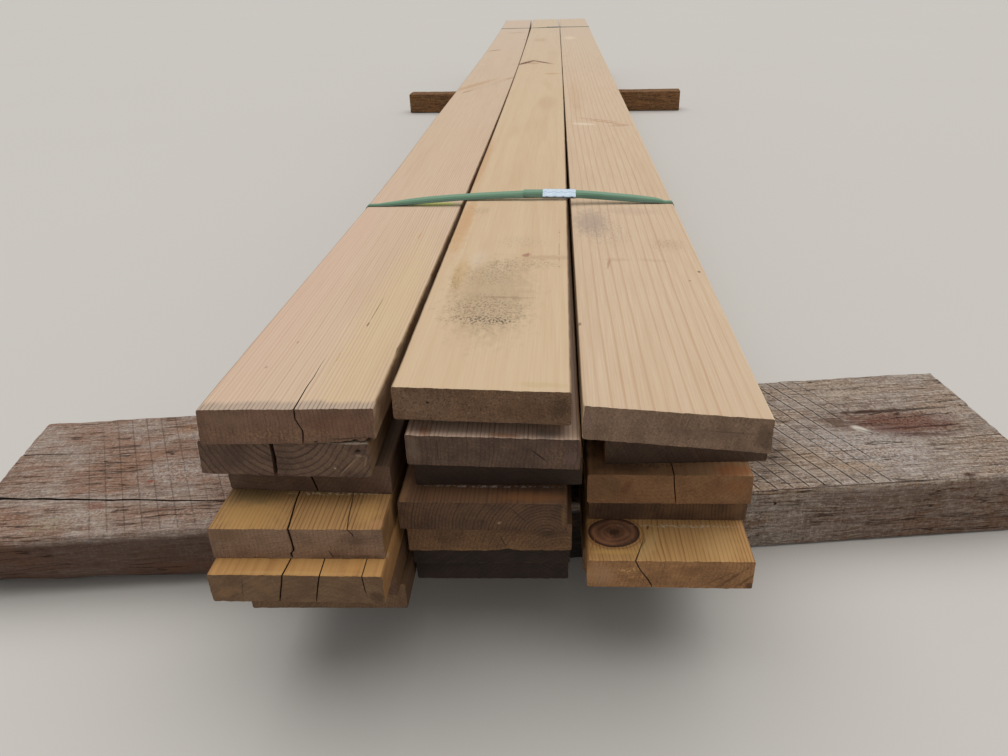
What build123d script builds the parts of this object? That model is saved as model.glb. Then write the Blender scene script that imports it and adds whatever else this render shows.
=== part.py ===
from build123d import *
import math
import os

# A strapped stack of dressed softwood boards lying on two rough bearers, in millimetres.
# +X runs across the stack to the right, +Y along the boards away from their near ends, +Z up.
# The layout is measured from the middle column's centre line and from the nominal line of
# the near ends. The finished stack is then moved so that the origin is on the floor, under
# the middle of its bounding box.

# Dressed board, nominal two by eight, eighteen feet long.
BOARD_WIDTH = 184.0
BOARD_THICKNESS = 38.0
BOARD_LENGTH = 5486.0
BOARD_EDGE_RADIUS = 2.5
COLUMN_GAP = 15.0

# The raised board in the middle of the top course, bowed up over its near half.
BOWED_BOARD = "middle_1"
BOW_RISE = 17.0
BOW_SPAN = 2600.0
BENT_PIECES = 14

# Rough-sawn bearers. Both carry the stack, so they share one height.
BEARER_HEIGHT = 102.0
BEARER_LENGTH = 1524.0
BEARER_EDGE = 5.0
FRONT_BEARER_WIDTH = 305.0
FRONT_BEARER_Y = 333.0
FRONT_BEARER_SKEW = 7.25
BACK_BEARER_WIDTH = 102.0
BACK_BEARER_Y = 3900.0
BACK_BEARER_SKEW = -3.0
BEARER_SHIFT = 0.0
WANE_HEIGHT = 46.0
WANE_DEPTH = 42.0
WANE_LENGTH = 760.0
BEARER_SPLIT_WIDTH = 5.0
BEARER_SPLIT_DEPTH = 40.0
BEARER_SPLIT_RUN = 560.0
BEARER_SPLIT_INSET = 62.0

# Plastic strap and its crimped metal seal.
STRAP_WIDTH = 19.0
STRAP_THICKNESS = 1.0
FRONT_STRAP_Y = 731.0
BACK_STRAP_Y = 4750.0
STRAP_TAIL = 34.0
STRAP_STUB = 12.0
STRAP_EASE = 0.2
SEAL_LENGTH = 60.0
SEAL_WALL = 0.9
SEAL_CLEARANCE = 0.3
SEAL_WAVE = 0.7
SEAL_LOBES = 4
SEAL_SHARE = 0.63

# Small damage at the near ends.
CHIPPED_BOARD = "left_2"
TORN_BOARD = "left_1"
CHIP_WIDTH = 30.0
CHIP_DEPTH = 9.0
SPLINTER_WIDTH = 52.0
SPLINTER_HEIGHT = 5.0
SPLINTER_RUN = 150.0

# One line for each board, by column and course (1 is the top one): sideways shift of the near
# and of the far end from the column's centre line, crook at half length, set-back of the near
# end, and how far the saw cut runs out of square to the right.
BOARDS = {
    "left_1": (-4.0, 0.5, 20.0, 4.0, 6.0),
    "left_2": (-12.5, -6.0, 0.0, -3.5, -5.0),
    "left_3": (4.0, -3.0, 0.0, 16.0, -6.0),
    "left_4": (3.5, 1.0, 0.0, -47.0, 4.0),
    "left_5": (5.0, -4.0, 0.0, -74.0, 2.0),
    "left_6": (5.0, 2.0, 0.0, -22.0, -2.0),
    "left_7": (10.0, 3.0, 0.0, -8.0, 6.0),
    "middle_1": (-2.5, -0.5, 9.0, 17.0, -10.0),
    "middle_2": (7.5, 3.0, 0.0, 13.0, -6.0),
    "middle_3": (11.0, 2.0, 0.0, 33.0, 4.0),
    "middle_4": (-5.0, 0.0, 0.0, 1.0, 1.0),
    "middle_5": (0.5, 4.0, 0.0, 11.0, 6.0),
    "middle_6": (-0.5, -3.0, 0.0, 32.0, 6.0),
    "middle_7": (-1.5, 2.0, 0.0, 46.0, 5.0),
    "right_1": (-6.0, -6.0, 0.0, 3.5, -23.0),
    "right_2": (3.0, -2.0, 0.0, 95.0, -5.0),
    "right_3": (23.0, 6.0, 0.0, 79.0, 10.0),
    "right_4": (3.0, 5.0, 0.0, 55.0, 2.0),
    "right_5": (6.0, -3.0, 0.0, 70.0, 2.0),
    "right_6": (2.5, 4.0, 0.0, 0.0, 2.0),
    "right_7": (1.0, -4.0, 0.0, 62.0, 1.0),
}

# Drying checks at the near ends: board, trace down the end face as (offset from the board's
# middle, share of the thickness), mouth width, run back along the board, sideways drift.
CHECKS = [
    ("left_1", [(10.4, 0.0), (10.5, 0.3), (17.6, 0.64), (16.2, 1.0)], 1.8, 330.0, 0.0),
    ("left_2", [(-12.4, 0.0), (-10.5, 0.45), (-10.7, 1.0)], 4.6, 260.0, 3.0),
    ("left_3", [(-1.0, 0.0), (2.8, 0.44), (8.3, 1.0)], 2.3, 220.0, -6.0),
    ("left_4", [(-6.5, 0.0), (-5.0, 0.33), (-3.6, 0.7), (-8.0, 0.83), (-6.6, 1.0)], 2.2, 190.0, -20.0),
    ("left_4", [(55.5, 0.0), (60.0, 0.16), (61.5, 0.26)], 1.3, 200.0, -26.0),
    ("left_5", [(-12.0, 0.0), (-14.0, 0.26), (-20.4, 0.95)], 1.8, 150.0, 12.0),
    ("left_5", [(27.0, 0.0), (24.0, 0.3), (19.0, 0.9)], 1.4, 140.0, -4.0),
    ("left_5", [(71.0, 0.0), (71.7, 0.36), (73.7, 0.74)], 1.2, 150.0, 2.0),
    ("right_4", [(4.0, 0.0), (5.0, 0.3), (8.4, 1.0)], 1.7, 180.0, 0.0),
    ("right_6", [(-39.0, 0.0), (-33.4, 0.34), (-24.7, 0.65), (-18.0, 1.0)], 2.1, 52.0, 20.0),
]

# How the loose front strap lies over the top course: share of the way across, height above
# the boards, and twist towards the near ends in degrees.
SLACK = [
    (0.0, 0.0, 0.0),
    (0.14, 3.8, 7.0),
    (0.34, 12.5, 14.0),
    (0.52, 17.8, 17.0),
    (0.7, 18.2, 17.0),
    (0.82, 11.5, 10.0),
    (0.93, 3.6, 3.0),
    (1.0, 0.0, 0.0),
]

# The back strap lies flat and only lifts for the lower wall of its seal.
TIGHT = [
    (0.0, 0.0, 0.0),
    (0.42, 0.4, 0.0),
    (0.54, 1.4, 0.0),
    (0.72, 1.4, 0.0),
    (0.84, 0.4, 0.0),
    (1.0, 0.0, 0.0),
]

HALF = BOARD_WIDTH / 2
PITCH = BOARD_WIDTH + COLUMN_GAP
COLUMN_X = {"left": -PITCH, "middle": 0.0, "right": PITCH}


def column_of(name):
    """Column of a board: left, middle or right."""
    return name.split("_")[0]


def course_of(name):
    """Course of a board, counted down from the top one, which is 1."""
    return int(name.split("_")[1])


def floor_of(name):
    """Height of a board's underside."""
    courses = max(course_of(each) for each in BOARDS)
    return BEARER_HEIGHT + (courses - course_of(name)) * BOARD_THICKNESS


def centre_at(name, y):
    """Sideways position of a board's centre line at a distance along the stack."""
    near, far, crook, setback, _ = BOARDS[name]
    share = (y - setback) / BOARD_LENGTH
    return COLUMN_X[column_of(name)] + near + (far - near) * share + 4 * crook * share * (1 - share)


def flat_board(name):
    """A straight board lying flat, with a sawn near end and eased long edges."""
    setback, skew = BOARDS[name][3:]
    far = setback + BOARD_LENGTH
    x_near = centre_at(name, setback)
    x_far = centre_at(name, far)
    outline = make_face(Polyline(
        (x_near - HALF, setback - skew / 2),
        (x_far - HALF, far),
        (x_far + HALF, far),
        (x_near + HALF, setback + skew / 2),
        close=True,
    ))
    blank = Pos(0, 0, floor_of(name)) * extrude(outline, BOARD_THICKNESS)
    long_edges = [e for e in blank.edges() if e.bounding_box().size.Y > BOARD_LENGTH / 2]
    return fillet(long_edges, BOARD_EDGE_RADIUS)


def bent_board(name, rise):
    """A crooked board: one section lofted along it, its near half lifted off the course below."""
    setback, skew = BOARDS[name][3:]
    middle_z = floor_of(name) + BOARD_THICKNESS / 2
    start = setback - abs(skew)
    end = setback + BOARD_LENGTH
    sections = []
    for k in range(BENT_PIECES + 1):
        y = start + (end - start) * k / BENT_PIECES
        lift = rise * max(0.0, (start + BOW_SPAN - y) / BOW_SPAN) ** 2
        station = Plane(origin=(centre_at(name, y), y, middle_z + lift), x_dir=(1, 0, 0), z_dir=(0, 1, 0))
        section = station * RectangleRounded(BOARD_WIDTH, BOARD_THICKNESS, BOARD_EDGE_RADIUS)
        sections.append(section.face().outer_wire())
    board = Solid.make_loft(sections, ruled=True)
    x = centre_at(name, start)
    offcut = make_face(Polyline(
        (x - BOARD_WIDTH, start - BOARD_THICKNESS),
        (x + BOARD_WIDTH, start - BOARD_THICKNESS),
        (x + BOARD_WIDTH, setback + skew),
        (x - BOARD_WIDTH, setback - skew),
        close=True,
    ))
    depth = 2 * (BOARD_THICKNESS + BOW_RISE)
    return board - Pos(0, 0, middle_z - depth / 2) * extrude(offcut, depth)


def check_slit(name, trace, mouth, run, drift):
    """A drying check: a thin zigzag slit that narrows to a point on the upper face."""
    setback, skew = BOARDS[name][3:]
    top = floor_of(name) + BOARD_THICKNESS
    centre = centre_at(name, setback)
    front = setback - abs(skew) / 2 - 1
    line = [(centre + x, top - share * BOARD_THICKNESS) for x, share in trace]
    line = [(line[0][0], top + 1)] + line
    if trace[-1][1] == 1.0:
        line.append((line[-1][0], top - BOARD_THICKNESS - 1))
    half = mouth / 2
    ring = [(x - half, z) for x, z in line] + [(x + half, z) for x, z in reversed(line)]
    mouth_face = Face(Wire.make_polygon([Vector(x, front, z) for x, z in ring]))
    tip = Vertex(line[0][0] + drift, setback + run, top + 0.2)
    return Solid.make_loft([mouth_face.outer_wire(), tip])


def chip(name):
    """A corner broken off the end of a board, on its right side."""
    setback, skew = BOARDS[name][3:]
    x_right = centre_at(name, setback) + HALF
    front = setback - abs(skew)
    wedge = Polyline(
        (x_right - CHIP_WIDTH, front),
        (x_right + 1, front),
        (x_right + 1, setback + CHIP_DEPTH),
        close=True,
    )
    height = BOARD_THICKNESS + 2
    return Pos(0, 0, floor_of(name) - 1) * extrude(make_face(wedge), height)


def splinter(name):
    """A thin wedge torn from the lower right edge, widest at the near end."""
    setback, skew = BOARDS[name][3:]
    floor = floor_of(name)
    x_right = centre_at(name, setback) + HALF
    front = setback - abs(skew) - 1
    corners = [
        Vector(x_right - SPLINTER_WIDTH, front, floor - 1),
        Vector(x_right + 1, front, floor - 1),
        Vector(x_right + 1, front, floor + SPLINTER_HEIGHT),
    ]
    torn = Wire.make_polygon(corners)
    return Solid.make_loft([torn, Vertex(x_right + 1, setback + SPLINTER_RUN, floor - 1)])


def make_boards():
    """All boards, by node name."""
    made = {}
    for name, row in BOARDS.items():
        rise = BOW_RISE if name == BOWED_BOARD else 0.0
        solid = bent_board(name, rise) if row[2] else flat_board(name)
        for checked, trace, mouth, run, drift in CHECKS:
            if checked == name:
                solid = solid - check_slit(name, trace, mouth, run, drift)
        if name == CHIPPED_BOARD:
            solid = solid - chip(name)
        if name == TORN_BOARD:
            solid = solid - splinter(name)
        made["board_" + name] = solid
    return made


def bearer_blank(width):
    """A rough timber with worn long edges, centred, standing on the floor."""
    blank = extrude(Rectangle(BEARER_LENGTH, width), BEARER_HEIGHT)
    worn = [e for e in blank.edges() if e.bounding_box().size.X > BEARER_LENGTH / 2]
    return chamfer(worn, BEARER_EDGE)


def front_bearer():
    """The wide weathered timber, with wane on its lower near edge and a long split on top."""
    timber = bearer_blank(FRONT_BEARER_WIDTH)
    x_left = -BEARER_LENGTH / 2
    y_near = -FRONT_BEARER_WIDTH / 2
    bark = Wire.make_polygon([
        Vector(x_left - 1, y_near - 1, -1),
        Vector(x_left - 1, y_near + WANE_DEPTH, -1),
        Vector(x_left - 1, y_near + WANE_DEPTH * 0.35, WANE_HEIGHT * 0.55),
        Vector(x_left - 1, y_near - 1, WANE_HEIGHT),
    ])
    wane = Solid.make_loft([bark, Vertex(x_left + WANE_LENGTH, y_near - 1, -1)])
    y_split = y_near + BEARER_SPLIT_INSET
    half = BEARER_SPLIT_WIDTH / 2
    gash = Wire.make_polygon([
        Vector(x_left - 1, y_split - half, BEARER_HEIGHT + 1),
        Vector(x_left - 1, y_split + half, BEARER_HEIGHT + 1),
        Vector(x_left - 1, y_split, BEARER_HEIGHT - BEARER_SPLIT_DEPTH),
    ])
    tip = Vertex(x_left + BEARER_SPLIT_RUN, y_split - half, BEARER_HEIGHT + 0.5)
    timber = timber - wane - Solid.make_loft([gash, tip])
    return Pos(BEARER_SHIFT, FRONT_BEARER_Y, 0) * Rot(0, 0, FRONT_BEARER_SKEW) * timber


def back_bearer():
    """The square timber under the far half of the stack."""
    timber = bearer_blank(BACK_BEARER_WIDTH)
    return Pos(BEARER_SHIFT, BACK_BEARER_Y, 0) * Rot(0, 0, BACK_BEARER_SKEW) * timber


def hull(points):
    """Corners of the smallest convex outline round some points, in order."""
    ordered = sorted(set(points))
    chains = []
    for run in (ordered, ordered[::-1]):
        chain = []
        for p in run:
            while len(chain) > 1 and turn(chain[-2], chain[-1], p) <= 0:
                chain.pop()
            chain.append(p)
        chains.append(chain[:-1])
    return chains[0] + chains[1]


def turn(a, b, c):
    """Positive where the way from a over b to c turns left."""
    return (b[0] - a[0]) * (c[1] - a[1]) - (b[1] - a[1]) * (c[0] - a[0])


def section_hull(y):
    """Taut outline round the stack's cross-section, drawn inside the boards' eased edges."""
    inset = BOARD_EDGE_RADIUS
    points = []
    for name in BOARDS:
        x = centre_at(name, y)
        z = floor_of(name)
        for side in (-1, 1):
            for height in (inset, BOARD_THICKNESS - inset):
                points.append((x + side * (HALF - inset), z + height))
    return hull(points)


def blend(table, share):
    """Height and twist from a table, with a smooth line through its rows."""
    last = len(table) - 1
    index = max(i for i in range(last) if table[i][0] <= share)
    rows = [table[max(0, min(last, index + k))] for k in (-1, 0, 1, 2)]
    step = rows[2][0] - rows[1][0]
    u = (share - rows[1][0]) / step
    out = []
    for k in (1, 2):
        before = (rows[2][k] - rows[0][k]) / max(rows[2][0] - rows[0][0], step) * step
        after = (rows[3][k] - rows[1][k]) / max(rows[3][0] - rows[1][0], step) * step
        if index == 0:
            before = 0.0
        if index == last - 1:
            after = 0.0
        value = rows[1][k] * (2 * u**3 - 3 * u**2 + 1) + rows[2][k] * (3 * u**2 - 2 * u**3)
        out.append(value + before * (u**3 - 2 * u**2 + u) + after * (u**3 - u**2))
    return out


def top_plane(span, y, table, share):
    """Plane across the strap at a share of its way over the top, its X along the width."""
    left, right, top = span
    share = min(max(share, 0.0), 1.0)
    step = 0.002
    height, twist = blend(table, share)
    ahead = blend(table, min(share + step, 1.0))[0]
    behind = blend(table, max(share - step, 0.0))[0]
    run = (right - left) * (min(share + step, 1.0) - max(share - step, 0.0))
    slope = math.atan2(ahead - behind, run) if 0.0 < share < 1.0 else 0.0
    way = Vector(math.cos(slope), 0, math.sin(slope))
    across = Vector(0, 1, 0).rotate(Axis((0, 0, 0), tuple(way)), twist)
    centre = Vector(left + (right - left) * share, y, top + height)
    return Plane(origin=centre, x_dir=across, z_dir=way)


def ribbon(span, y, table, shares, lift):
    """A stretch of strap over the top course, lifted off the base line by whole layers."""
    sections = []
    for share in shares:
        layer = Pos(0, lift, 0) * Rectangle(STRAP_WIDTH, STRAP_THICKNESS)
        sections.append((top_plane(span, y, table, share) * layer).face().outer_wire())
    return Solid.make_loft(sections, ruled=True)


def seal_ends(span):
    """Shares of the way across where the seal begins and ends."""
    half = SEAL_LENGTH / (span[1] - span[0]) / 2
    return SEAL_SHARE - half, SEAL_SHARE + half


def top_span(y):
    """Left and right limits of the strap's loose stretch, and the top course's height."""
    left = centre_at("left_1", y) - HALF + STRAP_STUB
    right = centre_at("right_1", y) + HALF - STRAP_STUB
    return left, right, floor_of("left_1") + BOARD_THICKNESS + STRAP_EASE


def strap(y, table):
    """A loop of strap: taut round the sides and the bottom, as the table says on top."""
    corners = section_hull(y)
    core = make_face(Polyline(*corners, close=True))
    wrap = BOARD_EDGE_RADIUS + STRAP_EASE
    inner = offset(core, wrap, kind=Kind.ARC)
    outer = offset(core, wrap + STRAP_THICKNESS, kind=Kind.ARC)
    band = extrude(Plane.XZ * (outer - inner), STRAP_WIDTH / 2, both=True)
    loop = Pos(0, y, 0) * band
    left, right, top = top_span(y)
    gap = Box(right - left, 2 * STRAP_WIDTH, 4 * STRAP_THICKNESS)
    loop = loop - Pos((left + right) / 2, y, top + STRAP_THICKNESS) * gap
    span = (left, right, top)
    middle = STRAP_THICKNESS / 2
    first, last = seal_ends(span)
    before = [first * k / 12 for k in range(13)]
    after = [last + (1 - last) * k / 8 for k in range(9)]
    loop = loop + ribbon(span, y, table, before + after, middle)
    tail_start = first - STRAP_TAIL / (right - left)
    tail_shares = [tail_start, (tail_start + first) / 2, first, last]
    lift = middle + STRAP_THICKNESS + SEAL_CLEARANCE / 3
    tail = ribbon(span, y, table, tail_shares, lift)
    return Compound(children=[*loop.solids(), tail])


def seal(y, table):
    """A crimped metal sleeve round the two layers of strap, with a lobed upper side."""
    inside = 2 * STRAP_THICKNESS + SEAL_CLEARANCE
    width = STRAP_WIDTH + 2 * (SEAL_WALL + SEAL_CLEARANCE)
    height = inside + 2 * SEAL_WALL
    half = SEAL_LENGTH / 2
    lobe = SEAL_LENGTH / SEAL_LOBES
    crest = []
    for k in range(2 * SEAL_LOBES + 1):
        crest.append((half - k * lobe / 2, height + (SEAL_WAVE if k % 2 else 0)))
    outline = make_face([
        Line((-half, 0), (half, 0)),
        Line((half, 0), crest[0]),
        Spline(*crest),
        Line(crest[-1], (-half, 0)),
    ])
    sleeve = extrude(outline, width / 2, both=True)
    slot = extrude(Rectangle(SEAL_LENGTH + 2, inside), (width - 2 * SEAL_WALL) / 2, both=True)
    sleeve = sleeve - Pos(0, SEAL_WALL + inside / 2, 0) * slot
    span = top_span(y)
    first, last = (top_plane(span, y, table, share) for share in seal_ends(span))
    way = last.origin - first.origin
    across = first.x_dir + last.x_dir
    flat = Plane(origin=(first.origin + last.origin) * 0.5, x_dir=way, z_dir=-across)
    drop = SEAL_WALL + SEAL_CLEARANCE / 3
    seat = Plane(origin=flat.origin - flat.y_dir * drop, x_dir=way, z_dir=-across)
    return seat * sleeve


def main():
    nodes = make_boards()
    nodes["bearer_front"] = front_bearer()
    nodes["bearer_back"] = back_bearer()
    nodes["strap_front"] = strap(FRONT_STRAP_Y, SLACK)
    nodes["strap_back"] = strap(BACK_STRAP_Y, TIGHT)
    nodes["seal_front"] = seal(FRONT_STRAP_Y, SLACK)
    nodes["seal_back"] = seal(BACK_STRAP_Y, TIGHT)
    boxes = [solid.bounding_box() for solid in nodes.values()]
    middle_x = (min(b.min.X for b in boxes) + max(b.max.X for b in boxes)) / 2
    middle_y = (min(b.min.Y for b in boxes) + max(b.max.Y for b in boxes)) / 2
    print("layout zero moves to", -middle_x, -middle_y)
    os.makedirs("parts", exist_ok=True)
    for name, solid in nodes.items():
        export_step(Pos(-middle_x, -middle_y, 0) * solid, f"parts/{name}.step")


main()
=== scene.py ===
import math

import bpy
import numpy as np
from bpy.props import FloatProperty, FloatVectorProperty, PointerProperty
from bpy.types import Operator, Panel, PropertyGroup
from mathutils import Matrix


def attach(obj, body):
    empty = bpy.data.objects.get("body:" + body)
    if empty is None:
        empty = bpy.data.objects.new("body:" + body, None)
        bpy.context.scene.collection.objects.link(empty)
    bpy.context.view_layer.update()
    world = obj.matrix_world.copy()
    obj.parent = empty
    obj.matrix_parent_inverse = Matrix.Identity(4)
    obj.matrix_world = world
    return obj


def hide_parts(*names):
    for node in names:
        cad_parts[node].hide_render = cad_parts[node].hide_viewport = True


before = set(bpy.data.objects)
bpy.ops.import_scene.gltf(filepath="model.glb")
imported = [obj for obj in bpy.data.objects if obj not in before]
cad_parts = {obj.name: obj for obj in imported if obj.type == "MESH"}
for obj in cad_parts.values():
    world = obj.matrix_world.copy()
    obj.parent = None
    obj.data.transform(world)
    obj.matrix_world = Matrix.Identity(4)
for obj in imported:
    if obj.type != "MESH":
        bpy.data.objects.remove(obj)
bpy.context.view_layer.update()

bl_info = {
    "name": "Strapped lumber stack",
    "version": (1, 0, 0),
    "blender": (4, 5, 0),
    "location": "3D View > Sidebar > Lumber",
    "description": "Dresses a strapped stack of boards on two bearers with worn edges, drying checks and wood grain",
    "category": "Add Mesh",
}

# The layout runs from the nominal line of the near ends; the frame's origin is this far along.
Y_ORIGIN = 2753.0
MM = 0.001

COURSES = 7
COLUMN_SIGN = {"left": -1, "middle": 0, "right": 1}

# Board: sideways shift at the near and at the far end, crook, set-back, run of the saw cut out of square (mm).
LAY = {
    "left_1": (-4.0, 0.5, 23.5, 4.0, 6.0),
    "left_2": (-11.0, -6.0, 0.0, 0.0, -4.0),
    "left_3": (4.0, -3.0, 0.0, 16.0, -6.0),
    "left_4": (3.5, 1.0, 0.0, -47.0, 4.0),
    "left_5": (5.0, -4.0, 0.0, -74.0, 2.0),
    "left_6": (5.0, 2.0, 0.0, -22.0, -2.0),
    "left_7": (10.0, 3.0, 0.0, -8.0, 6.0),
    "middle_1": (-2.5, -0.5, 9.0, 17.0, -10.0),
    "middle_2": (7.5, 3.0, 0.0, 13.0, -6.0),
    "middle_3": (11.0, 2.0, 0.0, 33.0, 4.0),
    "middle_4": (-5.0, 0.0, 0.0, 1.0, 1.0),
    "middle_5": (0.5, 4.0, 0.0, 11.0, 6.0),
    "middle_6": (-0.5, -3.0, 0.0, 32.0, 6.0),
    "middle_7": (-1.5, 2.0, 0.0, 46.0, 5.0),
    "right_1": (-6.0, -6.0, 0.0, 3.5, -23.0),
    "right_2": (3.0, -2.0, 0.0, 95.0, -5.0),
    "right_3": (23.0, 6.0, 0.0, 79.0, 10.0),
    "right_4": (3.0, 5.0, 0.0, 55.0, 2.0),
    "right_5": (6.0, -3.0, 0.0, 70.0, 2.0),
    "right_6": (2.5, 4.0, 0.0, 0.0, 2.0),
    "right_7": (1.0, -4.0, 0.0, 62.0, 1.0),
}

# How far the bottom of a near end stands forward of its top, where the saw ran out of plumb (mm).
LEAN = {
    "left_1": 7.0, "left_2": 7.0, "left_4": 2.0, "middle_1": 2.0, "right_1": 4.0, "right_4": 3.0, "right_6": 2.0,
}

# Long shallow hollow in a board's left edge: distance along, reach, depth (mm).
HOLLOW = {"left_1": (850.0, 500.0, 8.0)}

# Drying checks: trace down the end as (offset, share of the thickness), mouth, run, drift (mm).
CHECKS = {
    "left_1": [([(10.4, 0.0), (10.5, 0.3), (17.6, 0.64), (16.2, 1.0)], 1.7, 118.0, 0.0)],
    "left_2": [([(-12.4, 0.0), (-10.5, 0.45), (-10.7, 1.0)], 4.6, 260.0, 3.0)],
    "left_3": [([(-1.0, 0.0), (2.8, 0.44), (8.3, 1.0)], 2.3, 220.0, -6.0)],
    "left_4": [
        ([(-6.5, 0.0), (-5.0, 0.33), (-3.6, 0.7), (-8.0, 0.83), (-6.6, 1.0)], 2.2, 190.0, -20.0),
        ([(55.5, 0.0), (60.0, 0.16), (61.5, 0.26)], 1.3, 200.0, -26.0),
    ],
    "left_5": [
        ([(-12.0, 0.0), (-14.0, 0.26), (-20.4, 0.95)], 1.8, 150.0, 12.0),
        ([(27.0, 0.0), (24.0, 0.3), (19.0, 0.9)], 1.4, 140.0, -4.0),
        ([(71.0, 0.0), (71.7, 0.36), (73.7, 0.74)], 1.2, 150.0, 2.0),
    ],
    "right_4": [([(4.0, 0.0), (5.0, 0.3), (8.4, 1.0)], 1.3, 180.0, 0.0)],
    "right_6": [([(-39.0, 0.0), (-33.4, 0.34), (-24.7, 0.65), (-18.0, 1.0)], 1.7, 46.0, 16.0)],
}

# Knocks and torn places: centre (across, along, up), reach (across, along, up), push (across, along, up) (mm).
KNOCKS = {
    "left_1": [
        ((92, 0, -19), (34, 70, 4.5), (0, 2.5, 4.2)),
        ((92, 136, 19), (3, 9, 5), (-3.4, 0, -1.5)),
        ((92, 60, -4), (4, 60, 6), (-1.6, 0, 0)),
    ],
    "left_2": [
        ((92, 0, -19), (9, 6, 7), (0, 2.5, 0)),
        ((79, 0, 10), (4.5, 8, 3), (0, 7, 0)),
        ((70, 0, 2), (16, 5, 2.6), (0, -1.3, 0)),
    ],
    "left_5": [((92, 30, 4), (2, 14, 7), (1.4, 0, 0))],
    "middle_5": [((20, 0, -17), (8, 3, 4), (0, 2.0, 1.2))],
    "right_1": [((-92, 0, 15), (5, 6, 8), (1.8, 2.0, 0))],
    "right_6": [((-61, 45, 19), (30, 24, 5), (0, 0, 0.7))],
}

# Bearer: distance along the stack (mm), skew in degrees, and the splits at its left end, in the form of the checks.
BEARERS = {
    "front": (333.0, 7.25, [
        ([(-58.0, 0.0), (-64.0, 0.36)], 2.4, 150.0, 10.0),
        ([(52.0, 0.0), (49.0, 0.2), (51.0, 0.42)], 5.2, 540.0, 62.0),
        ([(108.0, 0.0), (104.0, 0.3)], 1.8, 120.0, -6.0),
    ]),
    "back": (3900.0, -3.0, [([(8.0, 0.0), (4.0, 0.5)], 2.6, 210.0, -9.0)]),
}
# Wane on the front bearer's lower near edge: how deep and high at its left end, and how far along it runs out (mm).
WANE_DEPTH, WANE_HEIGHT, WANE_LENGTH = 42.0, 46.0, 760.0
# Saw lines across the front bearer's top: distance apart, slope across, place of the first, where they start
# and end along the bearer, and their depth (mm).
KERF_PITCH, KERF_SLOPE, KERF_SHIFT, KERF_FIRST, KERF_LAST, KERF_DEPTH = 23.64, 0.402, 8.7, 830.0, 1300.0, 0.6
# Worn hollow in the front bearer's top: centre (across, along), reach (across, along), depth (mm).
GOUGE = (-8.0, 1390.0, 34.0, 85.0, 3.4)
# Nail holes in the front bearer's near side: centre (across, along, up) and reach (across, along, up) (mm).
NAIL_HOLES = (
    (152, 1005, 36, 30, 3.2, 2.6), (152, 1052, 12, 30, 4.0, 3.0), (152, 1130, 28, 30, 2.6, 2.2),
)
# Dark stain down the front bearer's near side: place along (mm).
STAIN_PLACE = 861.0

# The photograph's camera: place (m), turn to the left, tilt down and roll (degrees), focal length (mm).
CAMERA_PLACE = (0.07203, -3.39084, 0.76211)
CAMERA_YAW, CAMERA_PITCH, CAMERA_ROLL, CAMERA_LENS = 4.345, 28.986, 1.859, 26.97
# The floor: half its side, half the side of its middle square, and how far it lies under the stack (m).
FLOOR_HALF, FLOOR_MIDDLE, FLOOR_DROP = 150.0, 6.0, 0.001


def tone(red, green, blue):
    """A screen colour of 0 to 255 as the light it stands for."""
    def light(v):
        v = v / 255
        return v / 12.92 if v <= 0.04045 else ((v + 0.055) / 1.055) ** 2.4
    return (light(red), light(green), light(blue))


def metres(name, description, default):
    """A length among the settings."""
    return FloatProperty(name=name, description=description, default=default, unit="LENGTH")


def paint(name, description, default):
    """A colour among the settings."""
    return FloatVectorProperty(
        name=name, description=description, default=default, subtype="COLOR", size=3, min=0, max=1
    )


class BoardSettings(PropertyGroup):
    """Sizes and colours of the boards."""

    width: metres("Board width", "Dressed width of a board", 0.184)
    thickness: metres("Board thickness", "Dressed thickness of a board", 0.038)
    length: metres("Board length", "Length of every board", 5.486)
    arris: metres("Eased edge", "Radius of a board's long edges", 0.0025)
    gap: metres("Column gap", "Space between two columns", 0.015)
    bow: metres("Bow", "Rise of the middle top board's near end", 0.017)
    bow_span: metres("Bow length", "Length over which that board leaves the stack", 2.6)
    relief: metres("Sawn relief", "Depth of the roughness of a sawn end", 0.0006)
    # The inside of a check is painted shade on the walls of the check.
    shadow: paint("Inside of a check", "Colour of the wood inside a drying check", (0.09, 0.048, 0.026))


class BearerSettings(PropertyGroup):
    """Sizes and colours of the two bearers."""

    height: metres("Bearer height", "Height of both bearers", 0.102)
    length: metres("Bearer length", "Length of both bearers", 1.524)
    front_width: metres("Front bearer width", "Width of the weathered bearer", 0.305)
    back_width: metres("Back bearer width", "Width of the far bearer", 0.102)
    silver: paint("Weathered wood", "Colour of the silvered surface", tone(164, 148, 136))
    sound: paint("Sound wood", "Colour where the grey has worn away", tone(158, 128, 102))


class StrapSettings(PropertyGroup):
    """Sizes and colours of the straps and seals."""

    width: metres("Strap width", "Width of the strapping", 0.019)
    thickness: metres("Strap thickness", "Thickness of the strapping", 0.001)
    seal_length: metres("Seal length", "Length of a seal", 0.06)
    green: paint("Strap colour", "Colour of the strapping", tone(64, 116, 80))
    zinc: paint("Seal colour", "Colour of the seal's metal", tone(172, 186, 198))


class StageSettings(PropertyGroup):
    """Floor and light."""

    floor: paint("Floor colour", "Colour of the plain floor", (0.62, 0.60, 0.57))
    sky: FloatProperty(name="Sky strength", description="Strength of the even light from all sides", default=0.42)
    lamp: FloatProperty(name="Lamp strength", description="Strength of the broad lamp overhead", default=1.75)
    spread: FloatProperty(name="Lamp spread", description="Width of the lamp in the sky, in degrees", default=80.0)


# Noise and meshes.


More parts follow.
